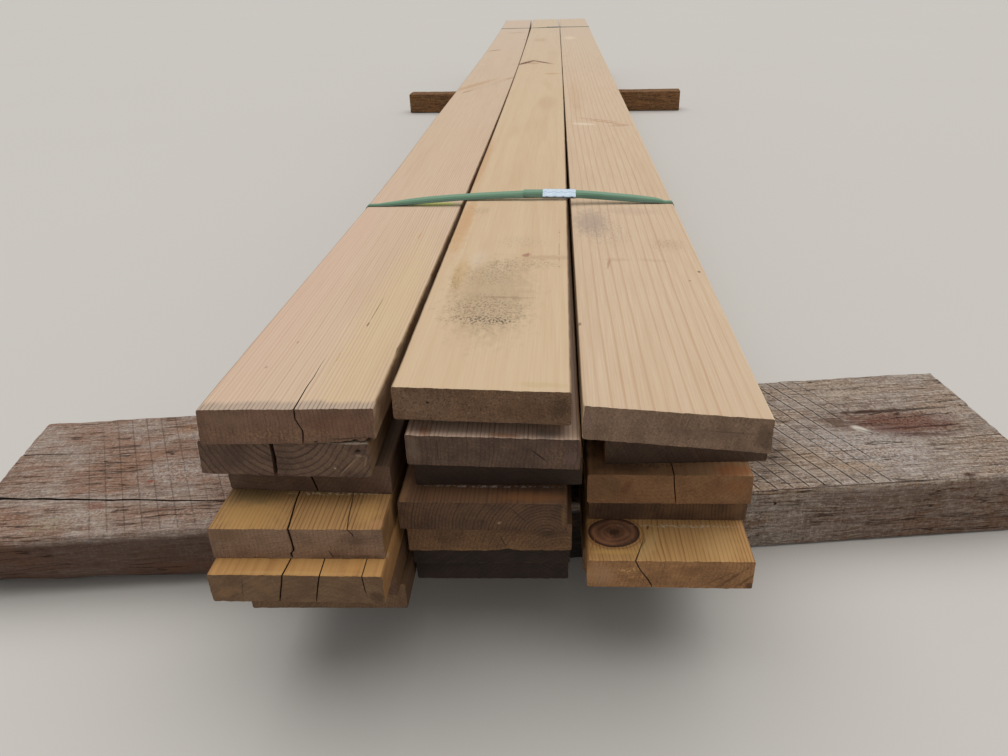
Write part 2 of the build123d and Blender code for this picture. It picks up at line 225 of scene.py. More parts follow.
def lumps(points, seed):
    """Smooth noise from -1 to 1: a random number at every whole-number corner, blended over each cell."""
    cell = np.floor(points).astype(np.int64)
    part = points - cell
    part = part * part * (3 - 2 * part)
    total = np.zeros(points.shape[:-1])
    for corner in range(8):
        step = np.array([corner & 1, corner >> 1 & 1, corner >> 2 & 1])
        key = (cell + step) @ np.array([73856093, 19349663, 83492791]) + seed * 26544357
        key = (key ^ (key >> 13)) * 1274126177
        key = ((key ^ (key >> 16)) & 0xFFFF) / 32767.5 - 1
        total += np.where(step, part, 1 - part).prod(axis=-1) * key
    return total


def waves(points, cell, seed):
    """The same noise with a cell of its own size each way; a size of 0 means no change that way."""
    return lumps(points * tuple(1 / size if size else 0.0 for size in cell), seed)


def new_object(name, points, quads, smooth_angle=40.0):
    """Puts whole arrays of points and quads into a mesh, as an object at the origin."""
    mesh = bpy.data.meshes.new(name)
    mesh.vertices.add(len(points))
    mesh.vertices.foreach_set("co", points.astype(np.float32).ravel())
    mesh.loops.add(quads.size)
    mesh.loops.foreach_set("vertex_index", quads.astype(np.int32).ravel())
    mesh.polygons.add(len(quads))
    mesh.polygons.foreach_set("loop_start", np.arange(0, quads.size, 4, dtype=np.int32))
    mesh.polygons.foreach_set("loop_total", np.full(len(quads), 4, dtype=np.int32))
    mesh.update(calc_edges=True)
    mesh.polygons.foreach_set("use_smooth", np.ones(len(quads), dtype=bool))
    mesh.set_sharp_from_angle(angle=math.radians(smooth_angle))
    obj = bpy.data.objects.new(name, mesh)
    bpy.context.scene.collection.objects.link(obj)
    return obj


def paint_values(obj, name, kind, domain, values):
    """Stores one number or vector on every point or face of the mesh."""
    attribute = obj.data.attributes.new(name, kind, domain)
    field = "vector" if kind == "FLOAT_VECTOR" else "value"
    attribute.data.foreach_set(field, np.ascontiguousarray(values, dtype=np.float32).ravel())


def sheet_quads(ids, flip):
    """Quads between neighbours of a two-way table of point numbers."""
    quads = np.stack([ids[:-1, :-1], ids[1:, :-1], ids[1:, 1:], ids[:-1, 1:]], axis=-1).reshape(-1, 4)
    return quads[:, ::-1] if flip else quads


def lattice_skin(name, points, home, splits):
    """Skin of a block of points numbered across, down and along.

    Its six sides are sheets of quads. A split is a pair of columns in one place: where the pair
    stands apart, each lip carries a wall, and where it is closed the pair is one point.
    """
    across, down, along = points.shape[:3]
    ids = np.arange(across * down * along).reshape(across, down, along)
    for lip, gap in splits:
        ids[lip + 1] = np.where(gap > 0, ids[lip + 1], ids[lip])
    edges = [0] + [lip + 1 for lip, _ in splits] + [across]
    parts = []
    for a, b in zip(edges[:-1], edges[1:]):
        parts.append((sheet_quads(ids[a:b, 0], False), 0, 0))
        parts.append((sheet_quads(ids[a:b, -1], True), 0, 0))
        parts.append((sheet_quads(ids[a:b, :, 0], True), 1, 0))
        parts.append((sheet_quads(ids[a:b, :, -1], False), 1, 0))
    parts.append((sheet_quads(ids[0], True), 0, 0))
    parts.append((sheet_quads(ids[-1], False), 0, 0))
    for lip, gap in splits:
        open_quad = (gap[:-1, :-1] > 0) | (gap[1:, :-1] > 0) | (gap[1:, 1:] > 0) | (gap[:-1, 1:] > 0)
        keep = open_quad.reshape(-1)
        parts.append((sheet_quads(ids[lip], False)[keep], 0, 1))
        parts.append((sheet_quads(ids[lip + 1], True)[keep], 0, 1))
    quads = np.concatenate([p[0] for p in parts])
    cut = np.concatenate([np.full(len(p[0]), p[1]) for p in parts])
    split = np.concatenate([np.full(len(p[0]), p[2]) for p in parts])
    used, quads = np.unique(quads, return_inverse=True)
    obj = new_object(name, points.reshape(-1, 3)[used], quads.reshape(-1, 4))
    paint_values(obj, "place", "FLOAT_VECTOR", "POINT", home.reshape(-1, 3)[used])
    paint_values(obj, "cut", "FLOAT", "FACE", cut)
    paint_values(obj, "split", "FLOAT", "FACE", split)
    return obj


def soften(x, z, half, thick, radius):
    """Rounds a rectangle's corners: a point in a corner square moves in along its ray, to make a quarter disc."""
    inner_x = np.abs(x) - (half - radius)
    inner_z = np.abs(z) - (thick - radius)
    corner = (inner_x > 0) & (inner_z > 0)
    reach = np.hypot(inner_x, inner_z)
    share = np.where(corner, np.maximum(inner_x, inner_z) / np.maximum(reach, 1e-9), 1.0)
    new_x = np.where(corner, np.sign(x) * (half - radius + inner_x * share), x)
    new_z = np.where(corner, np.sign(z) * (thick - radius + inner_z * share), z)
    return new_x, new_z


def outward(x, z, half, thick, radius):
    """Unit direction out of a rounded rectangle: from the nearest point of its inner rectangle."""
    dx = x - np.clip(x, -(half - radius), half - radius)
    dz = z - np.clip(z, -(thick - radius), thick - radius)
    size = np.maximum(np.hypot(dx, dz), 1e-9)
    return dx / size, dz / size


def stations(length, near_fine, far_fine, fine_step, coarse_step):
    """Distances along a piece: very close at its ends, even for a fine stretch, and then opening to coarse_step."""
    def opening(first, fine_to):
        """Distances from one end to the middle, from a first step that opens."""
        out, step = [0.0], first
        while out[-1] < length * 0.5:
            out.append(out[-1] + step)
            step = step * 1.4
            if step > fine_step:
                step = fine_step if out[-1] < fine_to else min(step, coarse_step)
        return out
    near = [s for s in opening(0.5, near_fine) if s < length * 0.5]
    far = [length - s for s in opening(0.8, far_fine) if s < length * 0.5 - coarse_step * 0.4]
    return np.array(near + far[::-1])


def columns(half, radius, step, checks):
    """Nominal places of the columns across a piece, and the column that is each check's left lip."""
    centres = [c[0][0][0] for c in checks]
    edges = [-half] + centres + [half]
    places, lips = [], []
    for number, (a, b) in enumerate(zip(edges[:-1], edges[1:])):
        count = max(3, round((b - a) / step))
        run = list(np.linspace(a, b, count + 1))
        if number == 0:
            run = [a, a + radius / 2, a + radius] + [p for p in run if p > a + radius * 1.6]
        if number == len(edges) - 2:
            run = [p for p in run if p < b - radius * 1.6] + [b - radius, b - radius / 2, b]
        places += run
        if number < len(checks):
            lips.append(len(places) - 1)
    return np.array(places), lips, np.array(edges)


def block(half, thick, radius, step, rows, along, checks):
    """A piece of timber in its own space as a block of points.

    Across: each finger between two checks is stretched from lip to lip. Down: even rows with two
    extra ones at each eased edge. A check's lip follows its trace down the end, slides to its tip
    along its run, and its gap closes as one minus the share of the run and of the depth left.
    """
    places, lips, edges = columns(half, radius, step, checks)
    inner = np.linspace(thick - radius, radius - thick, rows)
    z = np.concatenate([[thick, thick - radius / 2], inner, [radius / 2 - thick, -thick]])
    shares = (thick - z) / (2 * thick)
    left = np.full((len(z), len(along)), -half)
    x = np.empty((len(places), len(z), len(along)))
    splits = []
    start = 0
    for number in range(len(edges) - 1):
        stop = lips[number] + 1 if number < len(lips) else len(places)
        if number < len(checks):
            trace, mouth, run, drift = checks[number]
            line = np.interp(shares, [t[1] for t in trace], [t[0] for t in trace])
            reach = trace[-1][1] * (1.25 if trace[-1][1] >= 0.9 else 1.0)
            gone = np.clip(along / run, 0, 1)[None, :]
            middle = line[:, None] * (1 - gone) + (trace[0][0] + drift) * gone
            wander = np.stack([along / 23, along * 0 + number, along * 0], axis=-1)
            middle = middle + lumps(wander, 5 + number)[None, :] * 0.9 * np.clip(along / 40, 0, 1)
            depth = np.clip(1 - shares[:, None] / np.maximum(reach * (1 - gone) + 1e-6, 1e-6), 0, 1)
            gap = mouth * (1 - gone) ** 0.8 * np.minimum(1, depth * 3.0)
            gap = np.where(gap < 0.06, 0.0, gap)
            right = middle - gap / 2
        else:
            right = np.full_like(left, half)
            gap = None
        a, b = edges[number], edges[number + 1]
        share = ((places[start:stop] - a) / (b - a))[:, None, None]
        x[start:stop] = left[None] + share * (right - left)[None]
        if gap is not None:
            splits.append((stop - 1, gap))
            left = right + gap
        start = stop
    z = np.broadcast_to(z[None, :, None], x.shape).copy()
    y = np.broadcast_to(along[None, None, :], x.shape).copy()
    return x, y, z, splits


def skin_flags(shape):
    """Where a block's points lie on its long faces, and on its near and far ends."""
    side = np.zeros(shape, bool)
    side[[0, -1]] = True
    side[:, [0, -1]] = True
    near = np.zeros(shape, bool)
    near[..., 0] = True
    far = np.zeros(shape, bool)
    far[..., -1] = True
    return side, near, far


def centre_line(name, y, boards):
    """Sideways place of a board's centre line at a distance along the stack (mm)."""
    column = name.split("_")[0]
    near, far, crook, setback, _ = LAY[name]
    share = (y - setback) / (boards.length / MM)
    pitch = (boards.width + boards.gap) / MM
    return COLUMN_SIGN[column] * pitch + near + (far - near) * share + 4 * crook * share * (1 - share)


def hollow(name, y):
    """Depth of the hollow in a board's left edge at a distance along the board: a bell curve (mm)."""
    middle, reach, depth = HOLLOW.get(name, (0.0, 1.0, 0.0))
    return depth * np.exp(-(((y - middle) / reach) ** 2))


def board_floor(name, boards):
    """Height of a board's underside (mm)."""
    course = int(name.split("_")[1])
    bearers = bpy.context.scene.lumber_bearers
    return bearers.height / MM + (COURSES - course) * boards.thickness / MM


def make_board(name, boards, step, coarse):
    """One board.

    Section: a rounded rectangle whose corner radius wanders along the board. Sides: pushed out by
    lengthwise noise. Ends: pushed in by fine noise and by the saw's ripple. Place: the section's
    centre follows the crook, and for the bowed board rises with the square of the way back.
    """
    seed = sorted(LAY).index(name) * 11
    half, thick, radius = boards.width / MM / 2, boards.thickness / MM / 2 - 0.15, boards.arris / MM
    length = boards.length / MM
    checks = CHECKS.get(name, [])
    fine_to = max([c[2] for c in checks] + [60.0])
    along = stations(length, fine_to, 30.0, 9.0, coarse)
    x, y, z, splits = block(half, thick, radius, step, 9, along, checks)
    home = np.stack([x, y, z], axis=-1)
    side, near_end, far_end = skin_flags(x.shape)
    worn = radius * (1.0 + 0.35 * waves(home, (60, 55, 30), seed))
    worn = worn + 2.2 * np.clip(waves(home, (200, 26, 40), seed + 1) - 0.62, 0, 1)
    x, z = soften(x, z, half, thick, worn)
    out_x, out_z = outward(x, z, half, thick, radius)
    swell = 0.28 * waves(home, (42, 240, 42), seed + 2)
    swell = swell + 0.12 * waves(home, (9, 90, 9), seed + 3)
    fray = np.exp(-y / 1.6) * (0.30 + 0.45 * waves(home, (4.3, 1, 4.3), seed + 4))
    swell = np.where(side, swell - np.maximum(fray, 0), 0)
    x = x + out_x * swell
    z = z + out_z * swell
    rough = boards.relief / MM
    flat = home * (1, 0, 1)
    grit = rough * (0.8 * lumps(flat / 7.3, seed + 5) + 0.5 * lumps(flat / 3.1, seed + 6))
    ripple = 0.25 * rough * np.sin((home[..., 0] + 0.12 * home[..., 0] * home[..., 2] / 10) / 1.7)
    y = y + np.where(near_end, grit + ripple + 0.4, 0) - np.where(far_end, grit + 0.4, 0)
    for centre, reach, push in KNOCKS.get(name, []):
        ways = [(c - p) / r for c, p, r in zip(centre, np.moveaxis(home, -1, 0), reach)]
        weight = np.exp(-(ways[0] ** 2 + ways[1] ** 2 + ways[2] ** 2))
        weight = weight * (0.75 + 0.5 * lumps(home / 5, seed + 7))
        x, y, z = x + push[0] * weight, y + push[1] * weight, z + push[2] * weight
    x = x + hollow(name, y) * np.clip(-x / half, 0, 1)
    _, _, _, setback, skew = LAY[name]
    start = setback + skew * x / (2 * half) - LEAN.get(name, 0.0) * (thick - z) / (2 * thick)
    y_lay = start + (setback + length - start) * (y / length)
    lift = 0.0
    if name == "middle_1":
        first = setback - abs(skew)
        span = boards.bow_span / MM
        lift = boards.bow / MM * np.maximum(0, (first + span - y_lay) / span) ** 2
    world = np.stack(
        [
            centre_line(name, y_lay, boards) + x,
            y_lay - Y_ORIGIN,
            board_floor(name, boards) + boards.thickness / MM / 2 + z + lift,
        ],
        axis=-1,
    )
    return lattice_skin("wood_" + name, world * MM, home * MM, splits)


def make_bearer(name, bearers, step, along_step):
    """One rough bearer.

    Section: a rectangle whose edges are worn round by a wandering radius. Faces: lengthwise swells,
    and fissures where slow noise passes through zero. The front one has saw lines across its top
    right half, and wane that cuts its lower near edge back, less and less along its length.
    """
    front = name == "front"
    width = bearers.front_width if front else bearers.back_width
    distance, skew, checks = BEARERS[name]
    half, thick, length = width / MM / 2, bearers.height / MM / 2, bearers.length / MM
    radius, seed = 5.0, 301 if front else 401
    along = stations(length, length * 0.5, length * 0.5, along_step, along_step)
    x, y, z, splits = block(half, thick, radius, step, 20, along, checks)
    home = np.stack([x, y, z], axis=-1)
    side, near_end, far_end = skin_flags(x.shape)
    worn = radius + 2.0 * waves(home, (90, 60, 60), seed) + 1.6 * waves(home, (90, 17, 60), seed + 1)
    x, z = soften(x, z, half, thick, np.maximum(worn, 1.2))
    out_x, out_z = outward(x, z, half, thick, radius)
    crease = waves(home, (26, 330, 26), seed + 2) + 0.22 * waves(home, (6, 60, 6), seed + 3)
    fissure = np.exp(-((crease / 0.07) ** 2)) * np.clip(waves(home, (70, 190, 70), seed + 4) + 0.45, 0, 1)
    swell = 1.1 * waves(home, (60, 260, 60), seed + 5) + 0.5 * waves(home, (12, 75, 12), seed + 6)
    swell = swell + 0.35 * waves(home, (5, 16, 5), seed + 7) - 2.6 * fissure - 0.9
    if front:
        turn = (home[..., 1] - KERF_SLOPE * home[..., 0] - KERF_SHIFT) / KERF_PITCH
        line = np.exp(-(((turn - np.round(turn)) * KERF_PITCH / 2.0) ** 2))
        fade = np.clip((home[..., 1] - KERF_FIRST) / 60, 0, 1) * np.clip((KERF_LAST + 30 - home[..., 1]) / 60, 0, 1)
        swell = swell - np.where(z > thick - 8, KERF_DEPTH * line * fade, 0)
        gouge_x, gouge_y, reach_x, reach_y, depth = GOUGE
        gouge = np.exp(-(((home[..., 0] - gouge_x) / reach_x) ** 2) - (((home[..., 1] - gouge_y) / reach_y) ** 2))
        swell = swell - np.where(z > thick - 8, depth * gouge, 0)
    swell = np.where(side, swell, 0)
    fray = np.exp(-np.minimum(home[..., 1], length - home[..., 1]) / 5.0)
    swell = swell - np.where(side, fray * (0.8 + 1.2 * lumps(home / 9, seed + 8)), 0)
    x = x + out_x * swell
    z = np.maximum(z + out_z * swell, -thick)
    if front:
        left = 1 - np.clip(y / WANE_LENGTH, 0, 1)
        height = z + thick
        cut = WANE_DEPTH * left * np.interp(height / np.maximum(left, 1e-3), [0, 25, WANE_HEIGHT], [1, 0.35, 0])
        cut = cut * (1 + 0.12 * waves(home, (30, 60, 30), seed + 9))
        x = x - cut * np.clip((x - half + 100) / 100, 0, 1) ** 2
    grit = 1.3 * waves(home, (11, 0, 11), seed + 10) + 0.9 * waves(home, (4, 0, 4), seed + 11) + 1.4
    y = y + np.where(near_end, grit, 0) - np.where(far_end, grit, 0)
    run, across = y - length / 2, -x
    turn = math.radians(skew)
    world = np.stack(
        [
            run * math.cos(turn) - across * math.sin(turn),
            run * math.sin(turn) + across * math.cos(turn) + distance - Y_ORIGIN,
            z + thick,
        ],
        axis=-1,
    )
    return lattice_skin("timber_" + name, world * MM, home * MM, splits)


# Share of the way across the top, height above the boards (mm), twist towards the near ends (degrees).
SLACK = [
    (0.0, 0.0, 0.0), (0.05, 1.8, 7.0), (0.14, 6.6, 20.0), (0.34, 14.2, 23.0), (0.48, 17.0, 26.0), (0.58, 18.0, 31.0),
    (0.7, 16.5, 32.0), (0.82, 11.2, 29.0), (0.93, 5.4, 21.0), (0.98, 2.3, 9.0), (1.0, 0.0, 0.0),
]
TIGHT = [(0.0, 0.0, 0.0), (0.42, 0.4, 0.0), (0.54, 1.4, 0.0), (0.72, 1.4, 0.0), (0.84, 0.4, 0.0), (1.0, 0.0, 0.0)]
# Strap: distance along the stack (mm), and its table over the top.
STRAPS = {"front": (731.0, SLACK), "back": (4750.0, TIGHT)}
# The strap's distance from the boards, how far from the stack's edges its table begins, and its loose end (mm).
STRAP_EASE, STRAP_STUB, STRAP_TAIL = 0.2, 12.0, 34.0
# The seal's share of the way across, the thickness of its wall and its play round the strap (mm).
SEAL_SHARE, SEAL_WALL, SEAL_CLEARANCE = 0.64, 0.9, 0.3
# Ridge pressed along the slack strap beyond its seal: where it starts and ends, and its height (mm).
RIDGE_START, RIDGE_END, RIDGE_HIGH = 0.69, 0.97, 1.5


def outline_corners(y, boards):
    """Corners of the tight outline round the stack's section, in order, drawn inside the eased edges (mm)."""
    inset, half, thick = boards.arris / MM, boards.width / MM / 2, boards.thickness / MM
    dots = set()
    for name in LAY:
        x, z = centre_line(name, y, boards), board_floor(name, boards)
        dents = {-1: hollow(name, y), 1: 0.0}
        dots.update((x + a * (half - inset) + dents[a], z + b) for a in (-1, 1) for b in (inset, thick - inset))
    dots, chains = sorted(dots), []
    for run in (dots, dots[::-1]):
        chain = []
        for p in run:
            while len(chain) > 1 and np.cross(np.subtract(chain[-1], chain[-2]), np.subtract(p, chain[-1])) <= 0:
                chain.pop()
            chain.append(p)
        chains.append(chain[:-1])
    return np.array(chains[0] + chains[1])


def blended(table, share, column):
    """Smooth line through one column of a table: a cubic in each span, with slopes from the rows on both sides."""
    rows = np.array(table)
    at, values = rows[:, 0], rows[:, column]
    slopes = np.gradient(values, at)
    slopes[[0, -1]] = 0
    index = np.clip(np.searchsorted(at, share, side="right") - 1, 0, len(at) - 2)
    gap = at[index + 1] - at[index]
    u = (share - at[index]) / gap
    return (
        values[index] * (2 * u**3 - 3 * u**2 + 1)
        + values[index + 1] * (3 * u**2 - 2 * u**3)
        + gap * slopes[index] * (u**3 - 2 * u**2 + u)
        + gap * slopes[index + 1] * (u**3 - u**2)
    )


def top_span(y, boards):
    """Ends and height of a strap's stretch over the top course (mm)."""
    half = boards.width / MM / 2
    left = centre_line("left_1", y, boards) + hollow("left_1", y) - half + STRAP_STUB
    right = centre_line("right_1", y, boards) + half - STRAP_STUB
    return left, right, board_floor("left_1", boards) + boards.thickness / MM + STRAP_EASE


def top_path(y, table, boards, share):
    """Centre, width direction and upward direction along the top stretch, as arrays."""
    left, right, top = top_span(y, boards)
    x = left + (right - left) * share
    height, twist = blended(table, share, 1), np.radians(blended(table, share, 2))
    rise = np.gradient(height, x)
    way = np.stack([np.ones_like(rise), np.zeros_like(rise), rise], axis=-1)
    way /= np.linalg.norm(way, axis=-1, keepdims=True)
    flat = np.broadcast_to((0.0, 1.0, 0.0), way.shape)
    upright = np.cross(way, flat)
    wide = flat * np.cos(twist)[:, None] + upright * np.sin(twist)[:, None]
    up = np.cross(way, wide)
    centre = np.stack([x, np.full_like(x, y), top + height], axis=-1)
    return centre, wide, up


def along_top(y, table, boards, share):
    """Centre, width direction and upward direction at a few places of the top stretch, read off a dense path."""
    dense = np.linspace(0, 1, 400)
    return [
        np.stack([np.interp(share, dense, field[:, c]) for c in range(3)], axis=-1)
        for field in top_path(y, table, boards, dense)
    ]


def closed_rings(count, ring):
    """Point numbers of count rings, with the first point of each ring at its end again."""
    ids = np.arange(count * ring).reshape(count, ring)
    return np.concatenate([ids, ids[:, :1]], axis=1)


def band_skin(name, centre, wide, up, width, thick, closed, lengths, ridge=0.0):
    """A flat band: a rounded oblong profile carried along a path.

    A ridge lifts the middle of the band in a straight-sided roof, by its height at each place of the path.
    """
    turn = np.linspace(0, 2 * np.pi, 29)[:-1]
    across = np.sign(np.cos(turn)) * np.abs(np.cos(turn)) ** 0.35 * width / 2
    high = np.sign(np.sin(turn)) * np.abs(np.sin(turn)) ** 0.35 * thick / 2
    roof = np.broadcast_to(ridge, len(centre))[:, None] * (1 - np.abs(across) / (width / 2))[None]
    points = centre[:, None] + across[None, :, None] * wide[:, None] + (high[None] + roof)[..., None] * up[:, None]
    count, ring = points.shape[:2]
    ids = closed_rings(count, ring)
    if closed:
        ids = np.concatenate([ids, ids[:1]], axis=0)
    quads = [sheet_quads(ids, True)]
    if not closed:
        half = ring // 2
        for end, flip in ((ids[0], False), (ids[-1], True)):
            pair = np.stack([end[: half + 1], np.concatenate([end[ring:ring + 1], end[ring - 1: half - 1: -1]])])
            cap = sheet_quads(pair, flip)
            quads.append(cap[1:-1])
    quads = np.concatenate(quads)
    obj = new_object(name, points.reshape(-1, 3) * MM, quads)
    home = np.stack(
        [
            np.broadcast_to(across[None], (count, ring)),
            np.broadcast_to(lengths[:, None], (count, ring)),
            np.broadcast_to(high[None], (count, ring)),
        ],
        axis=-1,
    )
    paint_values(obj, "place", "FLOAT_VECTOR", "POINT", home * MM)
    return obj


def make_strap(name, boards, straps):
    """A loop of strap and its loose end.

    The loop runs over the top as the table says, and round the sides and bottom along the tight
    outline, with an arc at each corner. Frames along it keep its flat side to the boards.
    """
    y, table = STRAPS[name]
    corners = outline_corners(y, boards)
    wrap = boards.arris / MM + STRAP_EASE + straps.thickness / MM / 2
    share = np.linspace(0, 1, 160)
    centre, wide, up = top_path(y, table, boards, share)
    centre = centre + up * straps.thickness / MM / 2
    ridge = np.clip((share - RIDGE_START) / 0.04, 0, 1) * np.clip((RIDGE_END - share) / 0.24, 0, 1)
    ridge = ridge * (RIDGE_HIGH if table is SLACK else 0.0)
    ways = np.roll(corners, -1, axis=0) - corners
    normals = np.stack([ways[:, 1], -ways[:, 0]], axis=-1) / np.linalg.norm(ways, axis=-1, keepdims=True)
    first = int(np.argmax(corners[:, 0] + corners[:, 1]))
    last = int(np.argmax(corners[:, 1] - corners[:, 0]))
    order = [(first - k) % len(corners) for k in range(len(corners))]
    order = order[: order.index(last) + 1]
    ring, outs = [], []
    for k in order:
        after, before = normals[k], normals[k - 1]
        a, b = math.atan2(after[1], after[0]), math.atan2(before[1], before[0])
        b = a + (b - a + math.pi) % (2 * math.pi) - math.pi
        angles = np.linspace(a, b, 7)
        out = np.stack([np.cos(angles), np.sin(angles)], axis=-1)
        ring.append(corners[k] + out * wrap)
        outs.append(out)
    ring, outs = np.concatenate(ring), np.concatenate(outs)
    gaps = np.linalg.norm(np.diff(ring, axis=0), axis=-1)
    at = np.concatenate([[0], np.cumsum(gaps)])
    even = np.union1d(at, np.arange(0, at[-1], 9.0))
    ring = np.stack([np.interp(even, at, ring[:, c]) for c in (0, 1)], axis=-1)
    outs = np.stack([np.interp(even, at, outs[:, c]) for c in (0, 1)], axis=-1)
    outs /= np.linalg.norm(outs, axis=-1, keepdims=True)
    ring3 = np.stack([ring[:, 0], np.full(len(ring), y), ring[:, 1]], axis=-1)
    outs3 = np.stack([outs[:, 0], np.zeros(len(outs)), outs[:, 1]], axis=-1)
    wide3 = np.broadcast_to((0.0, 1.0, 0.0), ring3.shape)
    ridge = np.concatenate([ridge, np.zeros(len(ring3))])
    centre = np.concatenate([centre, ring3])
    wide = np.concatenate([wide, wide3])
    up = np.concatenate([up, outs3])
    lengths = np.concatenate([[0], np.cumsum(np.linalg.norm(np.diff(centre, axis=0), axis=-1))])
    centre[:, 1] -= Y_ORIGIN
    loop = band_skin(
        "strap_loop_" + name, centre, wide, up, straps.width / MM, straps.thickness / MM, True, lengths, ridge
    )
    left, right, _ = top_span(y, boards)
    half = straps.seal_length / MM / (right - left) / 2
    start = SEAL_SHARE - half - STRAP_TAIL / (right - left)
    share = np.linspace(start, SEAL_SHARE + half, 40)
    centre, wide, up = along_top(y, table, boards, share)
    lift = straps.thickness / MM * 1.5 + SEAL_CLEARANCE / 3
    curl = 1.6 * np.clip((start + 0.05 - share) / 0.05, 0, 1) ** 1.5
    centre = centre + up * (lift + curl)[:, None]
    centre[:, 1] -= Y_ORIGIN
    tail = band_skin(
        "strap_end_" + name, centre, wide, up, straps.width / MM, straps.thickness / MM, False,
        np.linspace(0, straps.seal_length / MM + STRAP_TAIL, 40),
    )
    return loop, tail


def make_seal(name, boards, straps):
    """The crimped sleeve: a flat ring profile carried along its length.

    Its wall is a closed loop of the length, out along the outside and back along the inside. The
    outside bulges in lobes, and two crimps in each long edge bite in by a narrow bell curve.
    """
    y, table = STRAPS[name]
    left, right, _ = top_span(y, boards)
    length, wall = straps.seal_length / MM, SEAL_WALL
    inner_high = 2 * straps.thickness / MM + SEAL_CLEARANCE
    half_wide = straps.width / MM / 2 + SEAL_CLEARANCE + wall
    half_high = inner_high / 2 + wall
    along = np.linspace(-length / 2, length / 2, 73)
    turn = np.linspace(0, 2 * np.pi, 65)[:-1]
    run, angle = np.meshgrid(np.concatenate([along, along[::-1]]), turn, indexing="ij")
    outside = np.zeros_like(run)
    outside[: len(along)] = 1.0
    cosine, sine = np.cos(angle), np.sin(angle)
    wide_share = np.sign(cosine) * np.abs(cosine) ** 0.3
    high_share = np.sign(sine) * np.abs(sine) ** 0.3
    lobe = 0.5 - 0.5 * np.cos(2 * np.pi * (run / length + 0.5) * 4)
    bite = sum(np.exp(-(((np.abs(run) - length * place) / 1.5) ** 2)) for place in (0.125, 0.375))
    offset = wall * outside
    across = wide_share * (half_wide - wall + offset - bite * 1.5 * np.abs(cosine) ** 2 - 0.7 * (1 - lobe) * outside)
    high = high_share * (half_high - wall + offset)
    high = high + np.where(high > 0, 0.9 * lobe * outside, 0) * (1 - 0.7 * np.abs(wide_share) ** 4)
    share = np.array([SEAL_SHARE - length / (right - left) / 2, SEAL_SHARE + length / (right - left) / 2])
    centre, wide, _ = along_top(y, table, boards, share)
    way = centre[1] - centre[0]
    way /= np.linalg.norm(way)
    wide = wide.mean(axis=0)
    wide -= way * (wide @ way)
    wide /= np.linalg.norm(wide)
    up = np.cross(way, wide)
    middle = centre.mean(axis=0) + up * (inner_high / 2 - SEAL_CLEARANCE / 3)
    middle[1] -= Y_ORIGIN
    points = middle + run[..., None] * way + across[..., None] * wide + high[..., None] * up
    ids = closed_rings(*run.shape)
    ids = np.concatenate([ids, ids[:1]], axis=0)
    obj = new_object("seal_sleeve_" + name, points.reshape(-1, 3) * MM, sheet_quads(ids, True), 50.0)
    home = np.stack([across, run, high], axis=-1)
    paint_values(obj, "place", "FLOAT_VECTOR", "POINT", home * MM)
    return obj


# Shader maths.


class Wire:
    """A shader socket that can stand in a sum: numbers get Math nodes and vectors Vector Math nodes."""

    def __init__(self, net, socket):
        self.net, self.socket = net, socket

    def _do(self, operation, first, second):
        vector = any(isinstance(v, tuple) or (isinstance(v, Wire) and v.socket.type == "VECTOR")
                     for v in (first, second))
        if vector and operation == "MULTIPLY" and isinstance(second, (int, float)):
            return self.net.node("ShaderNodeVectorMath", {"operation": "SCALE"}, {0: first, "Scale": second})
        kind = "ShaderNodeVectorMath" if vector else "ShaderNodeMath"
        return self.net.node(kind, {"operation": operation}, {0: first, 1: second})

    def __abs__(self):
        return self.net.node("ShaderNodeMath", {"operation": "ABSOLUTE"}, {0: self})


# Every sign works with the socket on either side of it.
SIGNS = {"add": "ADD", "sub": "SUBTRACT", "mul": "MULTIPLY", "truediv": "DIVIDE", "pow": "POWER"}
for sign, meaning in SIGNS.items():
    setattr(Wire, f"__{sign}__", lambda self, other, meaning=meaning: self._do(meaning, self, other))
    setattr(Wire, f"__r{sign}__", lambda self, other, meaning=meaning: self._do(meaning, other, self))


